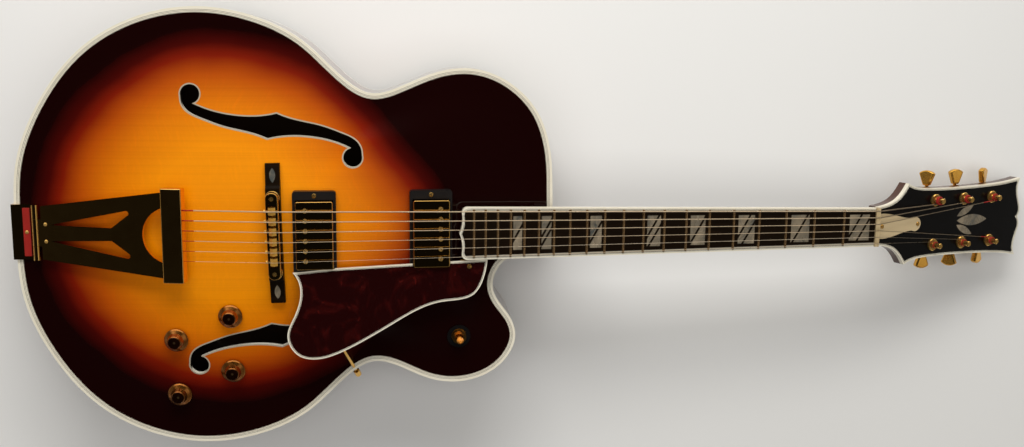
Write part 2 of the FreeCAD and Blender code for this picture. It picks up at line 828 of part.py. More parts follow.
def build_body():
    """Plates, bindings, ribs and what is glued inside them."""
    low = -rim_top
    inner_top = rim_top - d.plate_thickness
    inner_low = low + d.plate_thickness
    beyond = d.solid_reach
    ledge = rim_top - d.purfling_depth
    top_slab = top_face.extrude(Vec(0, 0, -d.plate_thickness))
    edge_ring = rim_prism(0, -beyond, beyond).cut(rim_prism(d.binding_width, -beyond, beyond))
    line_in = rim_prism(d.binding_width + d.purfling_width, ledge, beyond)
    line_ring = rim_prism(d.binding_width, ledge, beyond).cut(line_in)
    rings = top_slab.common(edge_ring).Solids + top_slab.common(line_ring).Solids
    feature("top_binding", Part.makeCompound(rings))
    rebate = rim_prism(0, ledge, beyond).cut(line_in)
    cutters = [rebate, f_outer, mirrored(f_outer)]
    for distance in (d.bridge_pickup_from_saddle, d.neck_pickup_from_saddle):
        cutters.append(moved(pickup_window(), pickup_frame(distance)))
    pot_hole = Part.makeCylinder(d.pot_bushing_radius + d.control_hole_clearance, 2 * beyond,
                                 Vec(0, 0, -beyond))
    cutters += [moved(pot_hole, place) for place in knob_places.values()]
    switch_hole = Part.makeCylinder(d.switch_bushing_radius + d.control_hole_clearance, 2 * beyond,
                                    Vec(0, 0, -beyond))
    cutters.append(moved(switch_hole, switch_place))
    feature("top_plate", top_slab.common(rim_prism(d.binding_width, -beyond, beyond)).cut(cutters))
    edging = [top_slab.common(solid.cut(hole)) for solid, hole in
              ((f_outer, f_inner), (mirrored(f_outer), mirrored(f_inner)))]
    feature("f_hole_bindings", Part.makeCompound(edging))

    back_slab = back_face.extrude(Vec(0, 0, d.plate_thickness))
    feature("back_binding", back_slab.common(edge_ring))
    feature("back_plate", back_slab.common(rim_prism(d.binding_width, -beyond, beyond)))

    jack_hole = Part.makeCylinder(d.jack_sleeve_radius + d.jack_hole_clearance, half_bout,
                                  Vec(d.jack_from_tail, -half_bout / 2, 0), Vec(0, -1, 0))
    peg_hole = Part.makeCylinder(d.end_pin_peg_radius + d.running_clearance, beyond, Vec(-beyond / 2, 0, 0),
                                 Vec(1, 0, 0))
    rib = rim_prism(0, inner_low, inner_top).cut(rim_prism(d.rib_thickness, inner_low, inner_top))
    rib = rib.cut([jack_hole, peg_hole])
    half = Part.makeBox(2 * beyond, beyond, 2 * beyond, Vec(-beyond / 2, d.rib_seam_from_centre, -beyond))
    feature("bass_rib", rib.common(half))
    treble = rib.cut(half)
    cutaway = Part.makeBox(beyond, 2 * beyond, 2 * beyond, Vec(d.cutaway_rib_from_tail, -beyond, -beyond))
    feature("treble_rib", Part.makeCompound(treble.cut(cutaway).Solids + treble.common(cutaway).Solids))

    inside = rim_prism(d.rib_thickness, inner_low, inner_top)
    neck_block = Part.makeBox(d.neck_block_length, d.neck_block_width, inner_top - inner_low,
                              Vec(d.body_length - d.neck_block_length, -d.neck_block_width / 2, inner_low))
    tail_block = Part.makeBox(d.tail_block_length, d.tail_block_width, inner_top - inner_low,
                              Vec(0, -d.tail_block_width / 2, inner_low))
    blocks = [neck_block.common(inside), tail_block.common(inside).cut(peg_hole)]
    feature("end_blocks", Part.makeCompound(blocks))
    well = rim_prism(d.rib_thickness + d.lining_width, inner_low, inner_top)
    jack_room = Part.makeCylinder(d.jack_can_radius + d.jack_can_gap, half_bout,
                                  Vec(d.jack_from_tail, -half_bout / 2, 0), Vec(0, -1, 0))
    linings = []
    for start in (inner_low, inner_top - d.lining_height):
        strip = rim_prism(d.rib_thickness, start, start + d.lining_height)
        linings.append(strip.cut([well, jack_room, neck_block, tail_block]))
    feature("linings", Part.makeCompound([solid for strip in linings for solid in strip.Solids]))

    bars = []
    under = top_face.copy()
    under.translate(Vec(0, 0, -d.plate_thickness))
    room = under.extrude(Vec(0, 0, -d.tone_bar_depth))
    for side in (1, -1):
        start = TONE_BAR_START_SHARE * d.body_length
        length = (TONE_BAR_END_SHARE - TONE_BAR_START_SHARE) * d.body_length
        strip = Part.makeBox(length, d.tone_bar_width, beyond,
                             Vec(start, side * d.tone_bar_spread / 2 - d.tone_bar_width / 2, 0))
        pickups = [Part.makeBox(d.pickup_width + 2 * d.cut_overrun, d.pickup_length + 2 * d.cut_overrun,
                                beyond,
                                Vec(from_saddle(distance) - d.pickup_width / 2 - d.cut_overrun,
                                    -d.pickup_length / 2 - d.cut_overrun, 0))
                   for distance in (d.bridge_pickup_from_saddle, d.neck_pickup_from_saddle)]
        bars.append(room.common(strip).cut(pickups))
    feature("tone_bars", Part.makeCompound([solid for bar in bars for solid in bar.Solids]))


# Neck and headstock


def half_round(distance, half_width, depth, top):
    """A D-shaped neck section square to the neck at a distance from the saddle line."""
    turns = [math.pi * step / 6 for step in range(7)]
    points = [Vec(distance, half_width * math.cos(turn), top - depth * math.sin(turn)) for turn in turns]
    curve = Part.BSplineCurve()
    curve.interpolate(points)
    return Part.Wire([curve.toShape(), Part.makeLine(points[-1], points[0])])


def heel_section(z, reach, width):
    """A D-shaped heel section at one height, its straight side inside the body."""
    start = d.body_length - d.heel_set_in
    turns = [math.pi * step / 6 for step in range(7)]
    points = [Vec(start + (reach + d.heel_set_in) * math.sin(turn), width / 2 * math.cos(turn), z)
              for turn in turns]
    curve = Part.BSplineCurve()
    curve.interpolate(points)
    return Part.Wire([curve.toShape(), Part.makeLine(points[-1], points[0])])


def board_wire(inset):
    """Plan of the fingerboard in the neck's frame, with its pointed end."""
    end = fret_distance(FRET_COUNT) - d.board_overhang + inset
    nut_half = board_half_width(d.scale_length) - inset
    end_half = board_half_width(end) - inset
    corner = d.board_corner
    cusp = Vec(end - d.board_cusp, 0, 0)
    edges = []
    for side in (1, -1):
        nut = Vec(d.scale_length, side * nut_half, 0)
        straight = Vec(end + corner, side * end_half, 0)
        turned_in = Vec(end, side * (end_half - corner), 0)
        bulge = Vec(end + corner * (1 - math.sqrt(0.5)), side * (end_half - corner * (1 - math.sqrt(0.5))),
                    0)
        hollow = Vec(end + d.board_cusp / 8, side * (end_half - corner) * 0.5, 0)
        edges.append(Part.makeLine(nut, straight))
        edges.append(Part.Arc(straight, bulge, turned_in).toShape())
        edges.append(Part.Arc(turned_in, hollow, cusp).toShape())
    edges.append(Part.makeLine(Vec(d.scale_length, -nut_half, 0), Vec(d.scale_length, nut_half, 0)))
    return Part.Wire(Part.sortEdges(edges)[0])


def board_round():
    """The long cylinder that gives the fingerboard its round."""
    return Part.makeCylinder(d.board_radius, d.scale_length, Vec(0, 0, -d.board_radius), Vec(1, 0, 0))


def inset_wire(runs, inset):
    """A closed clockwise outline of curves moved inwards, with mitred corners."""
    corners = []
    for run, following in zip(runs, runs[1:] + runs[:1]):
        leave = run.tangentAt(run.LastParameter)
        enter = following.tangentAt(following.FirstParameter)
        before = Vec(leave.y, -leave.x, 0)
        after = Vec(enter.y, -enter.x, 0)
        corners.append(run.valueAt(run.LastParameter) + (before + after) * (inset / (1 + before.dot(after))))
    edges = []
    for index, run in enumerate(runs):
        points = [corners[index - 1]]
        for step in range(1, INSET_SAMPLES):
            length = run.Length * step / INSET_SAMPLES
            if min(length, run.Length - length) > 2 * inset:
                where = run.getParameterByLength(length)
                along = run.tangentAt(where)
                points.append(run.valueAt(where) + Vec(along.y, -along.x, 0) * inset)
        edges.append(spline(points + [corners[index]]))
    return Part.Wire(edges)


def head_wire(inset):
    """Outline of the headstock face in its own frame, moved inwards all round but at the nut."""
    half = d.head_width / 2
    start = d.nut_thickness + d.head_face_gap - inset
    nut_half = board_half_width(d.scale_length)
    bass = [[Vec(start, nut_half, 0)]]
    for shares in (HEAD_SHARES, HEAD_SIDE_SHARES, HEAD_CREST_SHARES):
        bass.append([Vec(along * d.head_length, across * half, 0) for along, across in shares])
    lines = [near[-1:] + far for near, far in zip(bass, bass[1:])]
    lines += [[Vec(point.x, -point.y, 0) for point in reversed(line)] for line in reversed(lines)]
    runs = [spline(line) for line in lines]
    runs.append(Part.makeLine(lines[-1][-1], lines[0][0]))
    return inset_wire(runs, inset) if inset else Part.Wire(runs)


def clipped(outline, offset, slant, side):
    """The part of an outline on one side of a slanting line."""
    reach = [side * (x - slant * y - offset) for x, y in outline]
    kept = []
    for index, (x, y) in enumerate(outline):
        last_x, last_y = outline[index - 1]
        if (reach[index] > 0) != (reach[index - 1] > 0):
            share = reach[index - 1] / (reach[index - 1] - reach[index])
            kept.append((last_x + (x - last_x) * share, last_y + (y - last_y) * share))
        if reach[index] > 0:
            kept.append((x, y))
    return kept


def marker_outlines():
    """Outlines of the pearl pieces on the fingerboard, in the neck's frame."""
    outlines = []
    gap = d.inlay_gap / 2
    for number, pieces in MARKER_PIECES.items():
        near = fret_distance(number)
        far = fret_distance(number - 1)
        middle = (near + far) / 2
        reach = (far - near) * MARKER_LENGTH_SHARE / 2
        half = board_half_width(middle) * MARKER_WIDTH_SHARE
        block = [(middle - reach, -half), (middle + reach, -half), (middle + reach, half),
                 (middle - reach, half)]
        cuts = [middle + reach * MARKER_CUT_SHARE * (2 * cut - pieces) for cut in range(1, pieces)]
        for index in range(pieces):
            outline = block
            if index > 0:
                outline = clipped(outline, cuts[index - 1] + gap, MARKER_SLANT, 1)
            if index < pieces - 1:
                outline = clipped(outline, cuts[index] - gap, MARKER_SLANT, -1)
            outlines.append(outline)
    return outlines


def build_neck():
    """Neck, heel, headstock, fingerboard, frets, nut and their trim."""
    top = -d.board_thickness
    deep = -d.solid_reach
    body_join = (d.body_length - d.saddle_from_tail) / math.cos(math.radians(d.neck_pitch_deg))
    sections = [
        half_round(d.scale_length + d.neck_past_nut, board_half_width(d.scale_length), d.neck_depth_at_nut,
                   top),
        half_round(d.scale_length / 2 ** (1 / 2), board_half_width(d.scale_length / 2 ** (1 / 2)),
                   (d.neck_depth_at_nut + d.neck_depth_at_body) / 2, top),
        half_round(body_join - d.heel_set_in, board_half_width(body_join - d.heel_set_in),
                   d.neck_depth_at_body, top),
    ]
    shaft = moved(Part.makeLoft(sections, True, True), neck_frame)
    heel_low = -rim_top + d.heel_cap_thickness
    heel_end = d.body_length + d.heel_reach - d.saddle_from_tail
    heel_high = rim_top + board_plane(heel_end) - d.board_thickness - d.heel_top_drop
    heel_wires = []
    for height, reach, width in HEEL_SHARES:
        heel_wires.append(heel_section(
            heel_low + (heel_high - heel_low) * height,
            d.heel_tip_reach + (d.heel_reach - d.heel_tip_reach) * reach,
            d.heel_tip_width + (d.heel_width - d.heel_tip_width) * width))
    heel = Part.makeLoft(heel_wires, True, False)
    board_end = fret_distance(FRET_COUNT) - d.board_overhang
    tongue_half = board_half_width(fret_distance(FRET_COUNT)) - d.neck_tongue_inset
    tongue = Part.makeBox(body_join - board_end - d.neck_tongue_inset, 2 * tongue_half, d.board_over_rim,
                          Vec(board_end + d.neck_tongue_inset, -tongue_half, top - d.board_over_rim))
    tongue = moved(tongue, neck_frame).cut(under_top)
    inner_head = head_wire(d.head_binding_width)
    core = [moved(prism(head_wire(0), -d.head_thickness, -d.head_binding_height), head_frame),
            moved(prism(inner_head, -d.head_binding_height, -d.veneer_thickness), head_frame)]
    ring = prism(head_wire(0), -d.head_binding_height, 0).cut(prism(inner_head, deep, -deep))
    ring = moved(ring, head_frame)
    bores = []
    for number in range(1, STRING_COUNT + 1):
        spot, _ = post_spot(number)
        bore = Part.makeCylinder(d.bushing_radius, d.head_thickness * 2,
                                 spot - Vec(0, 0, d.head_thickness * 2 - d.cut_overrun))
        bores.append(moved(bore, head_frame))
    rod_centre = Vec(d.scale_length - d.truss_rod_length, 0, top - d.truss_rod_drop)
    channel = Part.makeCylinder(d.truss_rod_radius + d.truss_rod_clearance, d.truss_rod_length, rod_centre,
                                Vec(1, 0, 0))
    body_room = rim_prism(0, -d.rim_depth, rim_top)
    neck = fused([shaft.cut(body_room), heel.cut(body_room), tongue] + core)
    neck = neck.cut([moved(channel, neck_frame)] + bores)
    feature("neck", neck)
    feature("truss_rod", moved(Part.makeCylinder(d.truss_rod_radius, d.truss_rod_length, rod_centre,
                                                 Vec(1, 0, 0)), neck_frame))
    cap = heel_section(heel_low, d.heel_tip_reach, d.heel_tip_width)
    cap_solid = Part.Face(cap).extrude(Vec(0, 0, -d.heel_cap_thickness))
    cap_solid = cap_solid.cut(rim_prism(0, -d.rim_depth, d.rim_depth))
    feature("heel_cap", cap_solid)
    feature("headstock_binding", ring)
    veneer = moved(prism(inner_head, -d.veneer_thickness, 0), head_frame)
    marks = head_ornament()
    feature("headstock_veneer", veneer.cut(bores + marks))

    blank = prism(board_wire(0), top, d.board_thickness).common(board_round())
    inner = prism(board_wire(d.board_binding_width), deep, -deep)
    pearls = [prism(polygon(outline), -d.inlay_depth, d.board_thickness).common(board_round())
              for outline in marker_outlines()]
    feature("fingerboard", blank.common(inner).cut(pearls), neck_frame)
    feature("fingerboard_binding", blank.cut(inner), neck_frame)
    base_marks = bridge_ornaments()
    inlays = [moved(pearl, neck_frame) for pearl in pearls] + marks + base_marks
    feature("pearl_inlays", Part.makeCompound(inlays))
    feature("frets", Part.makeCompound([fret(number) for number in range(1, FRET_COUNT + 1)]), neck_frame)
    feature("nut", nut(), neck_frame)
    return base_marks


def head_ornament():
    """Three pearl leaves on the headstock face: a long one and two beside it."""
    middle = Vec(d.ornament_from_nut, 0, 0)
    leaves = [prism(lens(d.ornament_length, d.ornament_width), -d.inlay_depth, 0)]
    for side in (1, -1):
        leaf = prism(lens(d.leaf_length, d.leaf_width), -d.inlay_depth, 0)
        leaves.append(moved(leaf, Place(Vec(-d.leaf_spread, side * d.leaf_spread, 0),
                                        Spin(Vec(0, 0, 1), side * d.leaf_turn_deg))))
    return [moved(leaf, head_frame.multiply(Place(middle, Spin()))) for leaf in leaves]


def fret(number):
    """One fret crown, revolved about the fingerboard's axis."""
    where = fret_distance(number)
    half = board_half_width(where) - d.board_binding_width + d.fret_end_gap
    left = Vec(where - d.fret_width / 2, 0, 0)
    right = Vec(where + d.fret_width / 2, 0, 0)
    crown = Part.Wire([Part.Arc(left, Vec(where, 0, d.fret_height), right).toShape(),
                       Part.makeLine(right, left)])
    sweep = math.degrees(math.asin(half / d.board_radius))
    axis_point = Vec(where, 0, -d.board_radius)
    face = Part.Face(crown)
    face.rotate(axis_point, Vec(1, 0, 0), -sweep)
    return face.revolve(axis_point, Vec(1, 0, 0), 2 * sweep)


def nut():
    """The slotted nut, rounded like the fingerboard."""
    half = board_half_width(d.scale_length)
    block = Part.makeBox(d.nut_thickness, 2 * half, d.board_thickness + d.nut_over_board,
                         Vec(d.scale_length, -half, -d.board_thickness))
    crown = Part.makeCylinder(d.board_radius + d.nut_over_board, d.nut_thickness,
                              Vec(d.scale_length, 0, -d.board_radius), Vec(1, 0, 0))
    block = block.common(crown)
    slots = []
    for number in range(1, STRING_COUNT + 1):
        centre = string_at_nut(number)
        half_slot = string_diameter(number) / 2 + d.nut_slot_clearance
        slots.append(Part.makeBox(d.nut_thickness + 2 * d.cut_overrun, 2 * half_slot, d.board_thickness,
                                  Vec(d.scale_length - d.cut_overrun, centre.y - half_slot,
                                      centre.z - half_slot)))
    return block.cut(slots)


def build_head_trim():
    """The truss rod cover on the headstock face."""
    foot = d.nut_thickness + d.cover_gap
    half = d.cover_foot_width / 2
    sides = {}
    for side in (1, -1):
        sides[side] = [Vec(foot + along * d.cover_length, side * across * half, 0)
                       for along, across in COVER_SIDE_SHARES]
    tip = Vec(foot + d.cover_length, 0, 0)
    edges = [spline(sides[1]), Part.Arc(sides[1][-1], tip, sides[-1][-1]).toShape(),
             spline(sides[-1][::-1]),
             Part.makeLine(sides[-1][0], sides[1][0])]
    feature("truss_rod_cover", prism(Part.Wire(edges), 0, d.cover_thickness), head_frame)


# Machine heads


def build_machine_heads():
    """Housings and bushings on the headstock, and the six posts and buttons that turn."""
    bushing = turned("bushing_pattern", (
        ("post_radius + running_clearance", "0 - bushing_depth"),
        ("bushing_radius", "0 - bushing_depth"),
        ("bushing_radius", "0"),
        ("bushing_flange_radius", "0"),
        ("bushing_flange_radius", "bushing_flange_thickness - bushing_bevel"),
        ("bushing_flange_radius - bushing_bevel", "bushing_flange_thickness"),
        ("post_radius + running_clearance", "bushing_flange_thickness"),
    ))
    housing_top = -d.head_thickness
    housings = []
    bushings = []
    for number in range(1, STRING_COUNT + 1):
        spot, side = post_spot(number)
        place = head_frame.multiply(Place(spot, Spin()))
        bushings.append(moved(bushing.Shape, place))
        shell = Part.makeBox(d.housing_length, d.housing_width, d.housing_depth)
        shell.translate(Vec(d.shaft_offset / 2 - d.housing_length / 2, -d.housing_width / 2,
                            housing_top - d.housing_depth))
        shell = round_upright(shell, d.housing_round)
        lid = [e for e in shell.Edges if e.BoundBox.ZMax < housing_top - d.housing_depth + d.screw_edge]
        shell = shell.makeFillet(d.housing_round / 2, lid)
        shaft_z = housing_top - d.shaft_drop
        collar = Part.makeCylinder(d.shaft_collar_radius, d.shaft_collar_length,
                                   Vec(d.shaft_offset, side * d.housing_width / 2, shaft_z),
                                   Vec(0, side, 0))
        bore = Part.makeCylinder(d.shaft_radius + d.running_clearance, d.housing_width,
                                 Vec(d.shaft_offset, side * (d.housing_width / 2 - d.shaft_reach_in),
                                     shaft_z), Vec(0, side, 0))
        housings.append(moved(shell.fuse(collar).cut(bore), place))
        post = tuner_post(number, place)
        publish(post, f"tuner_post_{number}")
        feature(f"tuner_button_{number}", tuner_button(side, BUTTON_TURNS[number]), place)
    feature("tuner_housings", Part.makeCompound(housings))
    feature("tuner_bushings", Part.makeCompound(bushings))


def tuner_post(number, place):
    """A string post with a waist for the winding and a cross hole for the string's end."""
    lathe = turned(f"post_lathe_{number}", (
        ("0", "post_end_gap - head_thickness"),
        ("post_radius", "post_end_gap - head_thickness"),
        ("post_radius", "post_waist_start"),
        ("post_waist_radius", "post_waist_start + post_bevel"),
        ("post_waist_radius", "post_waist_end"),
        ("post_radius", "post_waist_end + post_bevel"),
        ("post_radius", "post_height - post_bevel"),
        ("post_radius - post_bevel", "post_height"),
        ("0", "post_height"),
    ), place)
    across = place.multiply(Place(Vec(0, -d.post_radius - d.cut_overrun, d.post_hole_height),
                                  Spin(Vec(1, 0, 0), -90)))
    drill = cylinder(f"post_drill_{number}", "post_hole_radius",
                     "post_radius + post_radius + cut_overrun + cut_overrun", across)
    post = doc.addObject("Part::Cut", f"tuner_post_{number}")
    post.Base = lathe
    post.Tool = drill
    doc.recompute()
    return post


def tuner_button(side, turn):
    """A keystone button on its worm shaft, left at a turn, in the frame of its post."""
    shaft_z = -d.head_thickness - d.shaft_drop
    near = d.button_from_post
    far = near + d.button_length
    root = d.button_root_width / 2
    wide = d.button_width / 2
    corner = far - d.button_length / 5
    edges = [
        Part.makeLine(Vec(-root, near, 0), Vec(root, near, 0)),
        Part.makeLine(Vec(root, near, 0), Vec(wide, corner, 0)),
        Part.Arc(Vec(wide, corner, 0), Vec(0, far, 0), Vec(-wide, corner, 0)).toShape(),
        Part.makeLine(Vec(-wide, corner, 0), Vec(-root, near, 0)),
    ]
    plate = prism(Part.Wire(edges), -d.button_thickness / 2, d.button_thickness / 2)
    plate = plate.makeFillet(d.button_round, plate.Edges)
    start = d.housing_width / 2 - d.shaft_reach_in + d.post_end_gap
    shaft = Part.makeCylinder(d.shaft_radius, near + d.button_length / 2 - start, Vec(0, start, 0),
                              Vec(0, 1, 0))
    button = plate.fuse(shaft).removeSplitter()
    if side < 0:
        button = mirrored(button)
    return moved(button, Place(Vec(d.shaft_offset, 0, shaft_z), Spin(Vec(0, 1, 0), turn)))


# Strings


def tangent_arc(start, corner, end):
    """An arc that leaves start and reaches end along the two lines that meet at corner."""
    chord = (start + end) * 0.5
    inward = corner - chord
    turn = (corner - start).getAngle(end - corner)
    sagitta = (end - start).Length / 2 * math.tan(turn / 4)
    if inward.Length < 1e-9:
        return Part.makeLine(start, end)
    return Part.Arc(start, chord + inward.normalize() * sagitta, end).toShape()


def biarc(start, start_way, end, end_way):
    """Two tangent arcs between two points with given directions."""
    span = end - start
    both = start_way + end_way
    square = 2 * (1 - start_way.dot(end_way))
    middle = span.dot(both)
    reach = (math.sqrt(middle * middle + square * span.dot(span)) - middle) / square
    first = start + start_way * reach
    second = end - end_way * reach
    joint = (first + second) * 0.5
    return [tangent_arc(start, first, joint), tangent_arc(joint, second, end)]


def winding_nodes(number, leaving):
    """Points and directions of the string from its lead-in to the end of its winding."""
    spot, side = post_spot(number)
    radius = d.post_radius + d.winding_clearance + string_diameter(number) / 2
    away = spot - leaving
    flat = math.hypot(away.x, away.y)
    heading = math.atan2(away.y, away.x) - side * math.asin(radius / flat)
    start_turn = heading - side * math.pi / 2
    low = d.winding_height + string_diameter(number) / 2
    touch = Vec(spot.x + radius * math.cos(start_turn), spot.y + radius * math.sin(start_turn), low)
    way = (touch - leaving).normalize()
    rise = string_diameter(number) + d.winding_gap
    found = [(touch - way * d.winding_lead, way)]
    for quarter in range(1, WINDING_QUARTERS + 1):
        turn = start_turn + side * math.pi / 2 * quarter
        height = low + rise * quarter / 4
        point = Vec(spot.x + radius * math.cos(turn), spot.y + radius * math.sin(turn), height)
        along = Vec(-math.sin(turn) * side, math.cos(turn) * side, rise / (2 * math.pi * radius))
        found.append((point, along.normalize()))
    return found


def string_path(number):
    """Edges of a string's centre line from the crossbar to its cut end on the post."""
    saddle = string_at_saddle(number)
    slope = math.radians(d.tail_tilt_deg)
    front = d.tail_arm_reach + d.crossbar_depth
    start = Vec(d.hinge_from_tail + front * math.cos(slope), saddle.y,
                rim_top + d.hinge_over_rim + front * math.sin(slope))
    nut_point = neck_frame.multVec(string_at_nut(number))
    to_head = head_frame.inverse()
    leaving = to_head.multVec(nut_point)
    nodes_on_post = [(head_frame.multVec(point), head_frame.Rotation.multVec(way))
                     for point, way in winding_nodes(number, leaving)]
    bend = d.string_bend_length
    corners = [start, saddle, nut_point, nodes_on_post[0][0]]
    edges = []
    here = start
    for before, corner, after in zip(corners, corners[1:], corners[2:]):
        enter = corner + (before - corner).normalize() * bend
        leave = corner + (after - corner).normalize() * bend
        edges.append(Part.makeLine(here, enter))
        edges.append(tangent_arc(enter, corner, leave))
        here = leave
    edges.append(Part.makeLine(here, nodes_on_post[0][0]))
    for (point, way), (next_point, next_way) in zip(nodes_on_post, nodes_on_post[1:]):
        edges += biarc(point, way, next_point, next_way)
    last, way = nodes_on_post[-1]
    edges.append(Part.makeLine(last, last + way * d.string_tail))
    return edges, nodes_on_post


def winding_room(edges, diameter):
    """Least gap between the turns of a winding, measured on points along it."""
    points = []
    for edge in edges:
        points += edge.discretize(Number=5)[:-1]
    turn_points = 4 * 2 * 4
    gaps = [points[i].distanceToPoint(points[j]) - diameter
            for i in range(len(points)) for j in range(i + turn_points * 3 // 4, len(points))]
    return min(gaps)


def build_strings():
    """Six strings, each one tube from the tailpiece to its post."""
    tubes = []
    for number in range(1, STRING_COUNT + 1):
        edges, _ = string_path(number)
        diameter = string_diameter(number)
        way = edges[0].tangentAt(edges[0].FirstParameter)
        start = edges[0].valueAt(edges[0].FirstParameter)
        section = Part.Wire(Part.makeCircle(diameter / 2, start, way))
        path = Part.Wire(edges)
        tube = path.makePipeShell([section], True, False)
        share = tube.Volume / (path.Length * math.pi * diameter * diameter / 4)
        gap = winding_room(edges[-2 * WINDING_QUARTERS - 1:-1], diameter)
        print(f"string {number}: volume share {share:.4f}, least gap between turns {gap:.2f}")
        tubes.append(tube)
    feature("strings", Part.makeCompound(tubes))


# Pickups


def pickup_frame(distance):
    """A frame under the strings at a distance from the saddle line, tilted with them."""
    height = rim_top + string_height(distance) - d.pickup_under_strings
    return Place(Vec(from_saddle(distance), 0, height), Spin(Vec(0, 1, 0), d.neck_pitch_deg))


def pickup_window():
    """The space that a pickup takes in its ring and in the top, in the pickup's frame."""
    length = d.pickup_length + 2 * d.pickup_clearance
    width = d.pickup_width + 2 * d.pickup_clearance
    depth = d.pickup_depth + d.cut_overrun
    return Part.makeBox(width, length, depth + d.cut_overrun, Vec(-width / 2, -length / 2, -depth))


def build_pickups():
    """Two covered pickups in black mounting rings shaped to the arch."""
    rings = []
    for name, distance, side in (("bridge_pickup", d.bridge_pickup_from_saddle, -1),
                                 ("neck_pickup", d.neck_pickup_from_saddle, 1)):
        place = pickup_frame(distance)
        cover = Part.makeBox(d.pickup_width, d.pickup_length, d.pickup_depth,
                             Vec(-d.pickup_width / 2, -d.pickup_length / 2, -d.pickup_depth))
        cover = round_upright(cover, d.pickup_round)
        rim = [e for e in cover.Edges if e.BoundBox.ZMin > -d.screw_edge]
        cover = cover.makeFillet(d.pickup_round / 2, rim)
        poles = []
        for number in range(1, STRING_COUNT + 1):
            y = string_offset(number, d.string_spread_at_bridge)
            poles.append(Part.makeCylinder(d.pole_radius, d.pole_height,
                                           Vec(side * d.pole_row_offset, y, 0)))
        feature(name, Part.makeCompound([cover] + poles), place)
        frame = Part.makeBox(d.ring_width, d.ring_length, d.board_over_rim,
                             Vec(-d.ring_width / 2, -d.ring_length / 2,
                                 -d.ring_under_pickup - d.board_over_rim))
        frame = round_upright(frame, d.ring_round)
        rings.append(moved(frame.cut(pickup_window()), place).cut(under_top))
    feature("pickup_rings", Part.makeCompound([solid for ring in rings for solid in ring.Solids]))


# Bridge

bridge_frame = Place(Vec(d.saddle_from_tail, 0, rim_top), Spin(Vec(0, 0, 1), d.bridge_skew_deg))


def bridge_base_block():
    """The ebony base in the bridge's frame: a raised middle, scooped down to two wings."""
    half = d.bridge_base_length / 2
    step = d.bridge_step_length / 2
    edges = []
    for side in (1, -1):
        wing = Vec(0, side * (step + d.bridge_scoop), d.bridge_wing_over_rim)
        tip = Vec(0, side * half, d.bridge_wing_tip_over_rim)
        high = Vec(0, side * step, d.bridge_step_over_rim)
        hollow = (wing + high) * 0.5 - Vec(0, side, 1) * (d.bridge_scoop / 6)
        edges.append(Part.Arc(high, hollow, wing).toShape())
        edges.append(Part.makeLine(wing, tip))
        edges.append(Part.makeLine(tip, Vec(0, side * half, 0)))
    edges.append(Part.makeLine(Vec(0, half, 0), Vec(0, -half, 0)))
    edges.append(Part.makeLine(Vec(0, step, d.bridge_step_over_rim), Vec(0, -step, d.bridge_step_over_rim)))
    face = Part.Face(Part.Wire(Part.sortEdges(edges)[0]))
    face.translate(Vec(-d.bridge_base_width / 2, 0, 0))
    block = moved(face.extrude(Vec(d.bridge_base_width, 0, 0)), bridge_frame)
    return block.cut(under_top)


def bridge_ornaments():
    """Pearl leaves let into the two wings of the bridge base."""
    half = d.bridge_base_length / 2
    start = d.bridge_step_length / 2 + d.bridge_scoop
    slope = math.atan((d.bridge_wing_over_rim - d.bridge_wing_tip_over_rim) / (half - start))
    leaves = []
    for side in (1, -1):
        y = half - d.bridge_ornament_inset
        height = d.bridge_wing_over_rim - (y - start) * math.tan(slope)
        leaf = prism(lens(d.bridge_ornament_length, d.bridge_ornament_width), -d.inlay_depth, 0)
        place = Place(Vec(0, side * y, height), Spin(Vec(1, 0, 0), -side * math.degrees(slope)))
        lengthwise = Place(Vec(0, 0, 0), Spin(Vec(0, 0, 1), 90))
        leaves.append(moved(leaf, bridge_frame.multiply(place).multiply(lengthwise)))
    return leaves


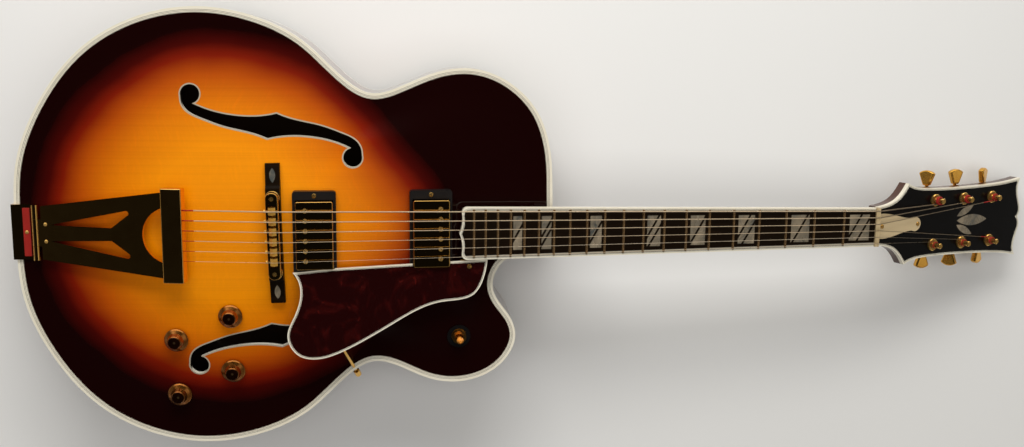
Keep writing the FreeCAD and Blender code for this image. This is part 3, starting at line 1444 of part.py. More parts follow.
def build_bridge(base_marks):
    """Base, posts, thumbwheels, bar and saddles."""
    feature("bridge_base", bridge_base_block().cut(base_marks))
    bar_low = d.bridge_step_over_rim + d.thumbwheel_lift + d.thumbwheel_thickness + d.bar_gap
    posts = []
    for name, side in (("bass_thumbwheel", 1), ("treble_thumbwheel", -1)):
        spot = Vec(0, side * d.bridge_post_spread / 2, d.bridge_step_over_rim)
        post = cylinder(f"{name}_post", "bridge_post_radius", "bridge_post_height",
                        bridge_frame.multiply(Place(spot, Spin())))
        posts.append(post.Shape)
        lift = bridge_frame.multiply(Place(spot + Vec(0, 0, d.thumbwheel_lift), Spin()))
        wheel = turned(name, (
            ("bridge_post_radius + running_clearance", "0"),
            ("thumbwheel_radius - thumbwheel_bevel", "0"),
            ("thumbwheel_radius", "thumbwheel_bevel"),
            ("thumbwheel_radius", "thumbwheel_thickness - thumbwheel_bevel"),
            ("thumbwheel_radius - thumbwheel_bevel", "thumbwheel_thickness"),
            ("bridge_post_radius + running_clearance", "thumbwheel_thickness"),
        ), lift)
        publish(wheel, name)
    feature("bridge_posts", Part.makeCompound(posts))
    bar = Part.makeBox(d.bar_width, d.bar_length, d.bar_height,
                       Vec(-d.bar_width / 2, -d.bar_length / 2, bar_low))
    bar = round_upright(bar, d.bar_width / 2 - d.screw_edge)
    upper = [e for e in bar.Edges if e.BoundBox.ZMin > bar_low + d.bar_height - d.screw_edge]
    bar = bar.makeFillet(d.bar_round / 2, upper)
    floor = bar_low + d.bar_height - d.bar_channel_depth
    channel = Part.makeBox(d.bar_channel_width, d.bar_channel_length, d.bar_height,
                           Vec(-d.bar_channel_width / 2, -d.bar_channel_length / 2, floor))
    holes = [Part.makeCylinder(d.bridge_post_radius + d.bar_post_clearance, d.solid_reach,
                               Vec(0, side * d.bridge_post_spread / 2, 0))
             for side in (1, -1)]
    feature("bridge_bar", bar.cut([channel] + holes), bridge_frame)
    pieces = []
    for number in range(1, STRING_COUNT + 1):
        crossing = bridge_frame.inverse().multVec(string_at_saddle(number))
        top = crossing.z - string_diameter(number) / 2 - d.saddle_string_gap
        half = d.bar_channel_width / 2 - d.saddle_side_gap
        shape = [(-half, floor), (half, floor), (half, floor + d.bar_channel_depth),
                 (d.saddle_ridge / 2, top), (-d.saddle_ridge / 2, top),
                 (-half, floor + d.bar_channel_depth)]
        corners = [Vec(x, crossing.y - d.saddle_width / 2, z) for x, z in shape]
        face = Part.Face(Part.makePolygon(corners + corners[:1]))
        pieces.append(face.extrude(Vec(0, d.saddle_width, 0)))
        head = Part.makeCylinder(d.saddle_screw_radius, d.saddle_screw_length,
                                 Vec(-d.bar_width / 2, crossing.y, floor + d.bar_channel_depth / 2),
                                 Vec(-1, 0, 0))
        pieces.append(head)
    feature("saddles", Part.makeCompound(pieces), bridge_frame)


# Tailpiece

tail_frame = Place(Vec(d.hinge_from_tail, 0, rim_top + d.hinge_over_rim),
                   Spin(Vec(0, 1, 0), -d.tail_tilt_deg))


def build_tailpiece():
    """The Y-shaped tailpiece, its hinge leaf and pin, and the end pin below them."""
    half = d.tail_plate_thickness / 2
    root = d.tail_root_width / 2
    fork = d.tail_fork_width / 2
    plate = prism(polygon(((d.tail_plate_start, root), (d.tail_arm_reach, fork), (d.tail_arm_reach, -fork),
                           (d.tail_plate_start, -root))), -half, half)
    cuts = []
    for side in (1, -1):
        window = [(along * d.tail_arm_reach, side * across * fork) for along, across in TAIL_WINDOW_SHARES]
        window = prism(polygon(window), -d.cut_overrun, d.cut_overrun)
        blunt = [edge for edge in window.Edges
                 if edge.BoundBox.ZLength > d.cut_overrun and edge.BoundBox.XMin > d.tail_arm_reach / 2]
        cuts.append(window.makeFillet(d.tail_window_round, blunt))
    moon_half = d.tail_moon_width / 2
    moon = [Part.Arc(Vec(d.tail_arm_reach, moon_half, 0), Vec(d.tail_arm_reach - d.tail_moon_depth, 0, 0),
                     Vec(d.tail_arm_reach, -moon_half, 0)).toShape(),
            Part.makeLine(Vec(d.tail_arm_reach, -moon_half, 0), Vec(d.tail_arm_reach, moon_half, 0))]
    cuts.append(prism(Part.Wire(moon), -d.cut_overrun, d.cut_overrun))
    bar = Part.makeBox(d.crossbar_depth, d.crossbar_length, d.crossbar_thickness,
                       Vec(d.tail_arm_reach, -d.crossbar_length / 2, -d.crossbar_thickness / 2))
    bar = bar.makeFillet(d.crossbar_round, bar.Edges)
    centre = d.hinge_centre_width / 2
    knuckle = Part.makeCylinder(d.hinge_knuckle_radius, 2 * centre, Vec(0, -centre, 0), Vec(0, 1, 0))
    web = Part.makeBox(d.tail_plate_start, 2 * centre, 2 * half, Vec(0, -centre, -half))
    pin_hole = Part.makeCylinder(d.hinge_pin_radius + d.hinge_pin_clearance, 2 * d.hinge_width,
                                 Vec(0, -d.hinge_width, 0), Vec(0, 1, 0))
    body = fused([plate.cut(cuts), bar, knuckle, web]).cut(pin_hole)
    feature("tailpiece", body, tail_frame)

    wide = d.hinge_width / 2
    thick = d.leaf_thickness
    room = rim_prism(0, -rim_top, rim_top)
    upright = Part.makeBox(thick + d.cut_overrun, 2 * wide, d.leaf_drop,
                           Vec(-thick, -wide, rim_top + thick - d.leaf_drop))
    flat = Part.makeBox(d.hinge_from_tail, 2 * wide, thick + d.plate_thickness,
                        Vec(-thick, -wide, rim_top - d.plate_thickness))
    leaf = [upright.cut(room), flat.cut(under_top)]
    for side in (1, -1):
        low = side * (centre + d.hinge_side_gap)
        run = side * (wide - centre - d.hinge_side_gap)
        leaf.append(Part.makeCylinder(d.hinge_knuckle_radius, abs(run),
                                      Vec(d.hinge_from_tail, min(low, low + run),
                                          rim_top + d.hinge_over_rim),
                                      Vec(0, 1, 0)))
        foot = Part.makeBox(d.hinge_knuckle_radius, abs(run), d.hinge_over_rim,
                            Vec(d.hinge_from_tail - d.hinge_knuckle_radius, min(low, low + run), rim_top))
        leaf.append(foot.cut(under_top))
    clear = Part.makeCylinder(d.hinge_knuckle_radius + d.hinge_side_gap, 2 * centre + 2 * d.hinge_side_gap,
                              Vec(d.hinge_from_tail, -centre - d.hinge_side_gap,
                                  rim_top + d.hinge_over_rim), Vec(0, 1, 0))
    pin_space = Part.makeCylinder(d.hinge_pin_radius, d.hinge_width,
                                  Vec(d.hinge_from_tail, -wide, rim_top + d.hinge_over_rim), Vec(0, 1, 0))
    peg_hole = Part.makeCylinder(d.end_pin_peg_radius + d.running_clearance, d.solid_reach,
                                 Vec(-d.solid_reach / 2, 0, 0), Vec(1, 0, 0))
    leaf = fused(leaf).cut([clear, pin_space, peg_hole])
    feature("tailpiece_hinge", Part.makeCompound(leaf.Solids + [pin_space]))

    publish(turned("end_pin", (
        ("0", "0 - end_pin_peg_length"),
        ("end_pin_peg_radius", "0 - end_pin_peg_length"),
        ("end_pin_peg_radius", "leaf_thickness"),
        ("end_pin_neck_radius + end_pin_bevel", "leaf_thickness"),
        ("end_pin_neck_radius", "leaf_thickness + end_pin_bevel"),
        ("end_pin_neck_radius", "end_pin_length - end_pin_head"),
        ("end_pin_radius", "end_pin_length - end_pin_head + end_pin_bevel"),
        ("end_pin_radius", "end_pin_length - end_pin_bevel"),
        ("end_pin_neck_radius", "end_pin_length"),
        ("0", "end_pin_length"),
    ), Place(Vec(0, 0, 0), Spin(Vec(0, 1, 0), -90))), "end_pin")


# Pickguard

guard_frame = neck_frame.multiply(Place(Vec(0, 0, -d.guard_under_board_plane), Spin()))


def guard_spot(share):
    """A point of the pickguard's plan from shares of its length and drop."""
    return Vec(d.guard_from_saddle + share[0] * d.guard_length,
               -d.guard_from_centre + share[1] * d.guard_drop, 0)


def guard_wire(inset):
    """Plan of the pickguard without its notches for the pickups."""
    top = [guard_spot(share) for share in GUARD_TOP_SHARES]
    edge = [guard_spot(share) for share in GUARD_EDGE_SHARES]
    runs = [Part.makeLine(p, q) for p, q in zip(top, top[1:])]
    wire = Part.Wire(runs + [spline([top[-1]] + edge[::-1] + [top[0]])])
    return offset_outline(wire, -inset) if inset else wire


def build_pickguard():
    """The floating pickguard with its edge binding and its bracket."""
    clear = d.guard_notch_clearance
    notches = []
    for distance in (d.bridge_pickup_from_saddle, d.neck_pickup_from_saddle):
        block = Part.makeBox(d.pickup_width + 2 * clear, d.pickup_length + 2 * clear, 2 * d.board_over_rim,
                             Vec(-d.pickup_width / 2 - clear, -d.pickup_length / 2 - clear,
                                 -d.board_over_rim))
        notches.append(guard_frame.inverse().multiply(pickup_frame(distance)))
        notches[-1] = moved(block, notches[-1])
    inner = prism(guard_wire(d.guard_binding_width), -d.board_over_rim, d.board_over_rim)
    plate = prism(guard_wire(0), -d.guard_thickness, 0).cut(notches)
    feature("pickguard", plate.common(inner), guard_frame)
    feature("pickguard_binding", plate.cut(inner), guard_frame)

    under = -d.guard_thickness
    tongue_half = board_half_width(fret_distance(FRET_COUNT)) - d.neck_tongue_inset
    end = d.guard_from_saddle + d.guard_length - d.guard_block_from_end
    block = Part.makeBox(d.guard_block_length, d.guard_block_width, d.guard_block_depth,
                         Vec(end - d.guard_block_length, -tongue_half - d.guard_block_width,
                             under - d.guard_block_depth))
    block = moved(block, guard_frame)
    x = d.bracket_rod_from_guard_end
    hold = guard_frame.multVec(Vec(d.guard_from_saddle + d.guard_length - x,
                                   -d.guard_from_centre - d.guard_drop + d.bracket_rod_from_edge,
                                   under - d.bracket_rod_radius))
    foot_x = from_saddle(d.bracket_foot_from_saddle)
    rim_spot = min((p for p in rim_points if p.y < 0), key=lambda p: abs(p.x - foot_x))
    outward = outward_at(rim_spot)
    foot = Vec(rim_spot.x, rim_spot.y, rim_top - d.bracket_foot_under_rim)
    knurl_centre = foot + outward * d.bracket_stand_off
    way = knurl_centre - hold
    rod = Part.makeCylinder(d.bracket_rod_radius, way.Length, hold, way)
    way.normalize()
    ball = Part.makeSphere(d.bracket_rod_radius, hold)
    knurl = Part.makeCylinder(d.bracket_knurl_radius, d.bracket_knurl_length,
                              knurl_centre - way * d.bracket_knurl_length / 2, way)
    screw = Part.makeCylinder(d.bracket_foot_radius, d.bracket_stand_off + d.cut_overrun,
                              foot - outward * d.cut_overrun, outward)
    bracket = fused([rod, ball, knurl, screw]).cut(rim_prism(0, -rim_top, rim_top))
    feature("pickguard_bracket", Part.makeCompound(bracket.Solids + [block]))


def outward_at(spot):
    """Outward direction of the rim at the nearest point of its curve."""
    edge = rim_curve.toShape()
    along = edge.tangentAt(rim_curve.parameter(spot))
    return Vec(-along.y, along.x, 0)


# Controls


def build_controls():
    """Knobs on their potentiometers, the switch and the output jack."""
    pots = []
    for name, place in knob_places.items():
        knob = turned(f"{name}_turning", (
            ("0", "knob_lift + knob_bore_depth"),
            ("pot_shaft_radius", "knob_lift + knob_bore_depth"),
            ("pot_shaft_radius", "pot_bushing_rise + switch_ring_thickness"),
            ("pot_bushing_radius + knob_lip", "pot_bushing_rise + switch_ring_thickness"),
            ("pot_bushing_radius + knob_lip", "knob_lift"),
            ("knob_radius - knob_lip", "knob_lift"),
            ("knob_radius", "knob_lift + knob_lip"),
            ("knob_radius", "knob_lift + knob_skirt_height - knob_lip"),
            ("knob_radius - knob_lip", "knob_lift + knob_skirt_height"),
            ("knob_waist_radius", "knob_lift + knob_waist_height"),
            ("knob_top_radius", "knob_lift + knob_height - knob_lip"),
            ("knob_top_radius - knob_lip", "knob_lift + knob_height"),
            ("knob_dish_radius", "knob_lift + knob_height"),
            ("0", "knob_lift + knob_height - knob_dish_depth"),
        ), place)
        shaft = Part.makeCylinder(d.pot_shaft_radius, d.knob_lift + d.knob_bore_depth + d.plate_thickness,
                                  Vec(0, 0, -d.plate_thickness))
        feature(name, Part.makeCompound([knob.Shape, moved(shaft, place)]))
        pot = turned(f"{name}_pot", (
            ("0", "0 - plate_thickness - pot_can_gap - pot_can_height"),
            ("pot_can_radius", "0 - plate_thickness - pot_can_gap - pot_can_height"),
            ("pot_can_radius", "0 - plate_thickness - pot_can_gap"),
            ("pot_bushing_radius", "0 - plate_thickness - pot_can_gap"),
            ("pot_bushing_radius", "pot_bushing_rise"),
            ("pot_shaft_radius + running_clearance", "pot_bushing_rise"),
            ("pot_shaft_radius + running_clearance", "0 - plate_thickness - pot_can_gap"),
            ("0", "0 - plate_thickness - pot_can_gap"),
        ), place)
        pots.append(pot.Shape)
    feature("potentiometers", Part.makeCompound(pots))

    pivot = -d.switch_pivot_depth
    seat = turned("switch_bushing", (
        ("switch_ball_radius + running_clearance", "0 - plate_thickness - pot_can_gap"),
        ("switch_bushing_radius", "0 - plate_thickness - pot_can_gap"),
        ("switch_bushing_radius", "switch_ring_thickness"),
        ("switch_nut_radius", "switch_ring_thickness"),
        ("switch_nut_radius", "switch_ring_thickness + switch_nut_height"),
        ("switch_bore_radius", "switch_ring_thickness + switch_nut_height"),
        ("switch_bore_radius", "switch_ball_radius - switch_pivot_depth"),
        ("switch_ball_radius + running_clearance", "switch_ball_radius - switch_pivot_depth"),
    ), switch_place)
    disc = turned("switch_disc", (
        ("switch_bushing_radius", "pot_can_gap"),
        ("switch_ring_radius", "pot_can_gap"),
        ("switch_ring_radius", "switch_ring_thickness"),
        ("switch_bushing_radius", "switch_ring_thickness"),
    ), switch_place)
    can_low = "0 - plate_thickness - pot_can_gap - switch_can_depth"
    can = box("switch_can", "switch_can_width", "switch_can_width", "switch_can_depth",
              switch_place.multiply(Place(Vec(0, 0, measure(can_low)), Spin())))
    feature("switch_body", Part.makeCompound([seat.Shape, disc.Shape, can.Shape]))
    lever = turned("switch_lever_turning", (
        ("0", "0"),
        ("switch_lever_radius", "0"),
        ("switch_lever_radius", "switch_tip_start"),
        ("switch_tip_radius - switch_lever_radius", "switch_tip_start"),
        ("switch_tip_radius", "switch_tip_start + switch_tip_length - switch_tip_radius"),
        ("switch_lever_radius", "switch_tip_start + switch_tip_length"),
        ("0", "switch_tip_start + switch_tip_length"),
    ), switch_place.multiply(Place(Vec(0, 0, pivot), Spin())))
    ball = Part.makeSphere(d.switch_ball_radius, switch_place.multVec(Vec(0, 0, pivot)))
    feature("switch_lever", lever.Shape.fuse(ball).removeSplitter())

    jack_seat = Vec(d.jack_from_tail, -half_bout - d.jack_seat_lift, 0)
    jack_place = Place(jack_seat, Spin(Vec(0, 0, 1), Vec(0, -1, 0)))
    outer = turned("jack_sleeve", (
        ("jack_bore_radius", "0"),
        ("jack_bore_radius", "jack_nut_thickness"),
        ("jack_nut_radius - jack_nut_bevel", "jack_nut_thickness"),
        ("jack_nut_radius", "jack_nut_thickness - jack_nut_bevel"),
        ("jack_nut_radius", "0"),
        ("jack_sleeve_radius", "0"),
        ("jack_sleeve_radius", "0 - rib_thickness - jack_can_gap"),
        ("jack_can_radius", "0 - rib_thickness - jack_can_gap"),
        ("jack_can_radius", "0 - rib_thickness - jack_can_gap - jack_can_length"),
        ("jack_inner_radius", "0 - rib_thickness - jack_can_gap - jack_can_length"),
        ("jack_inner_radius", "0"),
    ), jack_place)
    publish(outer, "output_jack")


# Screws


def build_screws():
    """Domed screw heads where the pieces are screwed down, all in one group."""
    head = turned("screw_pattern", (
        ("0", "0"),
        ("screw_head_radius", "0"),
        ("screw_head_radius", "screw_edge"),
        ("screw_head_radius - screw_edge", "screw_head_height - screw_edge"),
        ("screw_edge", "screw_head_height"),
        ("0", "screw_head_height"),
    ))
    places = []
    for distance in (d.bridge_pickup_from_saddle, d.neck_pickup_from_saddle):
        frame = pickup_frame(distance)
        for end in (1, -1):
            spot = Vec(0, end * (d.ring_length / 2 - d.ring_screw_inset), -d.ring_under_pickup)
            places.append(frame.multiply(Place(spot, Spin())))
    half_foot = d.nut_thickness + d.cover_gap
    for along in (half_foot + d.cover_screw_inset, half_foot + d.cover_length - d.cover_screw_inset):
        places.append(head_frame.multiply(Place(Vec(along, 0, d.cover_thickness), Spin())))
    guard_end = d.guard_from_saddle + d.guard_length - d.guard_block_from_end - d.guard_block_length / 2
    tongue_half = board_half_width(fret_distance(FRET_COUNT)) - d.neck_tongue_inset
    places.append(guard_frame.multiply(Place(Vec(guard_end, -tongue_half - d.guard_block_width / 2, 0),
                                             Spin())))
    for side in (1, -1):
        spot = Vec(-d.leaf_thickness, side * d.leaf_screw_spread / 2, d.leaf_screw_drop - rim_top)
        places.append(Place(spot, Spin(Vec(0, 0, 1), Vec(-1, 0, 0))))
    feature("screws", Part.makeCompound([moved(head.Shape, place) for place in places]))


def check_and_export():
    """Refuses failed or broken shapes, then writes one file per sub-part."""
    doc.recompute()
    for obj in doc.Objects:
        if "Invalid" in obj.State or "Error" in obj.State:
            raise RuntimeError(f"{obj.Label} did not recompute")
    os.makedirs("parts", exist_ok=True)
    for obj in nodes:
        shape = obj.Shape
        if shape.isNull() or not shape.isValid() or not shape.Solids:
            raise RuntimeError(f"{obj.Label} has no valid solid")
        shape.exportStep(f"parts/{obj.Label}.step")


build_body()
build_bridge(build_neck())
build_head_trim()
build_machine_heads()
build_strings()
build_pickups()
build_tailpiece()
build_pickguard()
build_controls()
build_screws()
check_and_export()
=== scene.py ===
"""Archtop guitar: finishes, strings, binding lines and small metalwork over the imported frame."""

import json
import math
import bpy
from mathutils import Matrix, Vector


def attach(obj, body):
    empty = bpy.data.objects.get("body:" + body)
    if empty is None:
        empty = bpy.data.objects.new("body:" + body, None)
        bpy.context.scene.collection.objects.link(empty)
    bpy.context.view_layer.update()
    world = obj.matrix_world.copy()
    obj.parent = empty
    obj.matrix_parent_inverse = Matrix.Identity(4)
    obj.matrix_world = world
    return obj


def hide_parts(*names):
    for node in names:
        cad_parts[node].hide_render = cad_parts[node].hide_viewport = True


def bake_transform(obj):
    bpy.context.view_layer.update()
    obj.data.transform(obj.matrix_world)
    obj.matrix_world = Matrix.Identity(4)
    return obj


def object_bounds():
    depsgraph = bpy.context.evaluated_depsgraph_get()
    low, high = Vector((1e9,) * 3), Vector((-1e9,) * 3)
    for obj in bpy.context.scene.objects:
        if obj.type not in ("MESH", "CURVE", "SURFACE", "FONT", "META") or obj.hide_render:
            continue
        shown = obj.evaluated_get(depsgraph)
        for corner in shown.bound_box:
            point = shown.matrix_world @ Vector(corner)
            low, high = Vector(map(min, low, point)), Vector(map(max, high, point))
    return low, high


bl_info = {
    "name": "Archtop Guitar",
    "version": (1, 0, 0),
    "blender": (4, 5, 0),
    "location": "View3D > Sidebar > Guitar",
    "description": "Finishes, strings, binding lines and small metalwork of an archtop guitar",
    "category": "Object",
}

import bmesh
import bpy
from bpy.props import FloatProperty, FloatVectorProperty, IntProperty, PointerProperty
from mathutils import Matrix, Vector

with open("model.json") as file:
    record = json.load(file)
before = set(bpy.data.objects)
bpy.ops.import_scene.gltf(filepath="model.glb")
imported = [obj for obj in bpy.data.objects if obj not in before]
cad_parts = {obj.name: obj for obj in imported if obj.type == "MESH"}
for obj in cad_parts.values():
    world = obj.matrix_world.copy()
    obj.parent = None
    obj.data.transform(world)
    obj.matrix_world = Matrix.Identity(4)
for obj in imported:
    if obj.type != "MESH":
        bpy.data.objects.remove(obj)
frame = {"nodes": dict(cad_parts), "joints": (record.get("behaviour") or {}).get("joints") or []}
CAD_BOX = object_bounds()

MM = 0.001
UP = Vector((0.0, 0.0, 1.0))

# Origins and angles of the neck, the headstock and the tailpiece, which lean in the XZ plane
SADDLE = Vector((263.5, 0.0, 83.0)) * MM
NECK_LEAN = math.radians(3.5)
HEAD_ORIGIN = Vector((909.748, 0.0, 39.466)) * MM
HEAD_LEAN = math.radians(18.5)
TAIL_ORIGIN = Vector((22.0, 0.0, 48.5)) * MM
TAIL_LEAN = math.radians(-9.5)
SADDLE_SKEW = math.radians(1.2)

# Path of the strings in the frames of the tailpiece, the neck and the headstock
CROSSBAR_REACH = 154.5 * MM
NUT_REACH = 652.7 * MM
SADDLE_RISE, NUT_RISE = 5.0 * MM, 1.9 * MM
SADDLE_HALF, NUT_HALF = 26.0 * MM, 18.0 * MM
BOARD_CURVE = 305.0 * MM
FIRST_POST, POST_PITCH, POST_ASIDE = 88.0 * MM, 43.2 * MM, 25.5 * MM
POST_RADIUS, WINDING_FOOT, WINDING_GAP = 3.45 * MM, 3.6 * MM, 0.6 * MM
WINDING_TURNS, WINDING_STEPS = 2.25, 16
STRING_END = 3.0 * MM
FAR_STRINGS = (3, 4)
SHORT_SILK = 2.0 * MM
SILK_TAPER = 1.02
WRAP_PITCH = 0.30 * MM

# Lines in the bindings: longest step, least share of the width that holds a line, and least cosine of a face
# that looks up
LINE_STEP = 6.0 * MM
LINE_ROOM = 0.6
FACING_UP = 0.80

# Slots of the screws: turn of the first, turn from one to the next, and each row of points as a share of the
# head's radius and a share of the slot's width
SLOT_TURN, SLOT_STEP = 0.5, 1.13
SLOT_LIFT = 0.03 * MM
CROWN_FLAT = 0.995
SLOT_ROWS = ((-0.98, 0.5), (-0.9, 1.0), (0.9, 1.0), (0.98, 0.5))

# Felt strip and rivets of the hinge; a rivet's profile is in radius and height, in millimetres
FELT_SIZE = (7.2 * MM, 50.0 * MM, 0.8 * MM)
FELT_PLACE, FELT_LIFT, FELT_ROUND = 12.4 * MM, 0.38 * MM, 0.3 * MM
LEAF_END, PLATE_START, PLATE_END = 15.0 * MM, 28.0 * MM, 40.0 * MM
RIVET_PLACE, RIVET_ASIDE = 11.0 * MM, 8.8 * MM
FELT_RIVET_LIFT, PLATE_RIVET_SINK = 0.7 * MM, 0.1 * MM
RIVET_PROFILE = ((1.9, 0.0), (1.9, 0.25), (1.7, 0.45), (1.3, 0.75), (0.75, 1.0), (0.25, 1.08))
RIVET_SIDES = 20

# Shares of a colour's channels where plating is worn
WORN = (0.80, 0.74, 0.66)

# Widest part of the fingerboard to the part its slope is taken from
BOARD_RUN = 100.0 * MM

# Switch: radius and foot of its ring, start of the lever's tip
RING_RADIUS, RING_FOOT, TIP_START = 7.9 * MM, -1.0 * MM, 11.5 * MM


def leaning(origin, lean):
    """Frame at a point whose X axis dips towards the floor by an angle."""
    return Matrix.Translation(origin) @ Matrix.Rotation(lean, 4, "Y")


NECK_FRAME = leaning(SADDLE, NECK_LEAN)
HEAD_FRAME = leaning(HEAD_ORIGIN, HEAD_LEAN)
TAIL_FRAME = leaning(TAIL_ORIGIN, TAIL_LEAN)


# Settings that a user would change


def colour(name, description, default):
    """A colour setting."""
    return FloatVectorProperty(name=name, description=description, subtype="COLOR",
                               size=3, min=0.0, max=1.0, default=default)


def length(name, description, default):
    """A length setting, in metres."""
    return FloatProperty(name=name, description=description, subtype="DISTANCE",
                         unit="LENGTH", min=0.0, precision=5, default=default)


class BurstSettings(bpy.types.PropertyGroup):
    """Colours and reach of the sunburst"""
    core: colour("Core", "Lacquer over the bare spruce in the middle", (0.84, 0.262, 0.0006))
    amber: colour("Amber", "Lacquer towards the rim of the bright field", (0.66, 0.165, 0.001))
    orange: colour("Orange", "First sprayed coat", (0.43, 0.070, 0.001))
    cherry: colour("Cherry", "Second sprayed coat", (0.18, 0.0085, 0.0008))
    maroon: colour("Maroon", "Third sprayed coat", (0.050, 0.0015, 0.0006))
    edge: colour("Edge", "Darkest coat at the rim", (0.007, 0.0005, 0.0004))
    field_radius: length("Field radius", "Radius of the bright field on the lower bout", 0.1385)
    tongue_radius: length("Tongue radius", "Radius of the bright field towards the neck", 0.0272)
    field_centre: length("Field centre", "Middle of the bright field from the tail", 0.2128)
    tongue_reach: length("Tongue reach", "How far the field is drawn towards the neck", 0.1465)
    field_rise: length("Field rise", "How far the field is set towards the bass side", 0.0110)
    glow_width: length("Glow width", "Width over which the core turns to amber inside the field", 0.060)
    spray_width: length("Spray width", "Width over which the coats darken", 0.059)


class TrimSettings(bpy.types.PropertyGroup):
    """Colours and line sizes of the trim"""
    ivory: colour("Ivory", "Bindings", (0.80, 0.755, 0.63))
    cream: colour("Cream", "Truss rod cover and heel cap", (0.60, 0.47, 0.28))
    edging: colour("Edging", "Edging of the f-holes and pale ply of the fingerboard", (0.40, 0.35, 0.27))
    line: colour("Line", "Dark lines in the binding", (0.018, 0.014, 0.011))
    pearl: colour("Pearl", "Inlays", (0.170, 0.140, 0.096))
    ebony: colour("Ebony", "Fingerboard and bridge foot", (0.0066, 0.0034, 0.0014))
    tortoise: colour("Tortoise", "Ground of the pickguard", (0.013, 0.0012, 0.0012))
    flame: colour("Flame", "Flecks of the pickguard", (0.085, 0.006, 0.004))
    line_width: length("Line width", "Width of a dark line", 0.00033)
    ply_width: length("Ply width", "Width of the pale ply along the sides of the fingerboard", 0.0018)
    line_lift: length("Line lift", "Height of a line over its binding", 0.00004)


class MetalSettings(bpy.types.PropertyGroup):
    """Colours of the metalwork and knobs"""
    gold: colour("Gold", "Plated hardware", (0.88, 0.53, 0.15))
    brass: colour("Brass", "Tuner buttons and saddles", (0.78, 0.42, 0.075))
    nickel: colour("Nickel silver", "Frets", (0.36, 0.22, 0.10))
    steel: colour("Steel", "Plain strings", (0.82, 0.68, 0.50))
    wrap: colour("Wrap", "Wound strings", (0.78, 0.61, 0.41))
    zinc: colour("Zinc", "Hidden metal", (0.42, 0.42, 0.41))
    amber: colour("Knob amber", "Bell knobs", (0.38, 0.145, 0.026))
    tip: colour("Switch tip", "Plastic tip of the switch", (0.85, 0.31, 0.045))
    slot_width: length("Slot width", "Width of a screw slot", 0.00055)


class StringSettings(bpy.types.PropertyGroup):
    """Gauges and silk of the strings"""
    gauges: FloatVectorProperty(
        name="Gauges", description="Diameters from the thinnest string to the thickest",
        size=6, unit="LENGTH", precision=5,
        default=(0.00031, 0.00041, 0.00061, 0.00081, 0.00107, 0.00132))
    silk: colour("Silk", "Thread on the ends of the strings", (0.40, 0.014, 0.008))
    silk_tail: length("Silk at tail", "Length of silk in front of the crossbar", 0.0105)
    silk_head: length("Silk at post", "Length of silk before the far posts", 0.017)
    silk_swell: length("Silk swell", "How much the silk adds to a string's radius", 0.00012)
    first_wound: IntProperty(name="First wound", description="Number of the first wound string",
                             default=3, min=1, max=6)


class StageSettings(bpy.types.PropertyGroup):
    """Floor, lamps and camera"""
    floor: colour("Floor", "Pale studio floor", (0.80, 0.79, 0.765))
    floor_reach: length("Floor reach", "Half of the floor's side", 6.0)
    key_power: FloatProperty(name="Key power", description="Lamp beyond the bass side",
                             unit="POWER", default=17.5, min=0.0)
    overhead_power: FloatProperty(name="Overhead power", description="Wide lamp under the ceiling",
                                  unit="POWER", default=35.0, min=0.0)
    lens: FloatProperty(name="Lens", description="Focal length of the camera",
                        subtype="DISTANCE_CAMERA", default=37.816)


# Shader maths


def operation(name, reflected=False):
    """A method of a wire that adds a Math node."""
    def method(self, *others):
        values = (self, *others)
        return self.finish.math(name, *(reversed(values) if reflected else values))
    return method


class Wire:
    """A shader socket that takes part in arithmetic."""

    def __init__(self, finish, socket):
        self.finish = finish
        self.socket = socket

    __add__ = __radd__ = operation("ADD")
    __sub__ = operation("SUBTRACT")
    __rsub__ = operation("SUBTRACT", True)
    __mul__ = __rmul__ = operation("MULTIPLY")
    __truediv__ = operation("DIVIDE")
    __rtruediv__ = operation("DIVIDE", True)
    __abs__ = operation("ABSOLUTE")
    __lt__ = operation("LESS_THAN")
    __gt__ = operation("GREATER_THAN")
    root = operation("SQRT")
    sine = operation("SINE")
    most = operation("MAXIMUM")
    least = operation("MINIMUM")

    def held(self):
        """The value kept between nothing and one."""
        return self.most(0.0).least(1.0)

    def step(self, low, high):
        """Smooth step from nothing at low to one at high."""
        return self.finish.node("ShaderNodeMapRange", {"interpolation_type": "SMOOTHSTEP"},
                                {"Value": self, "From Min": low, "From Max": high})


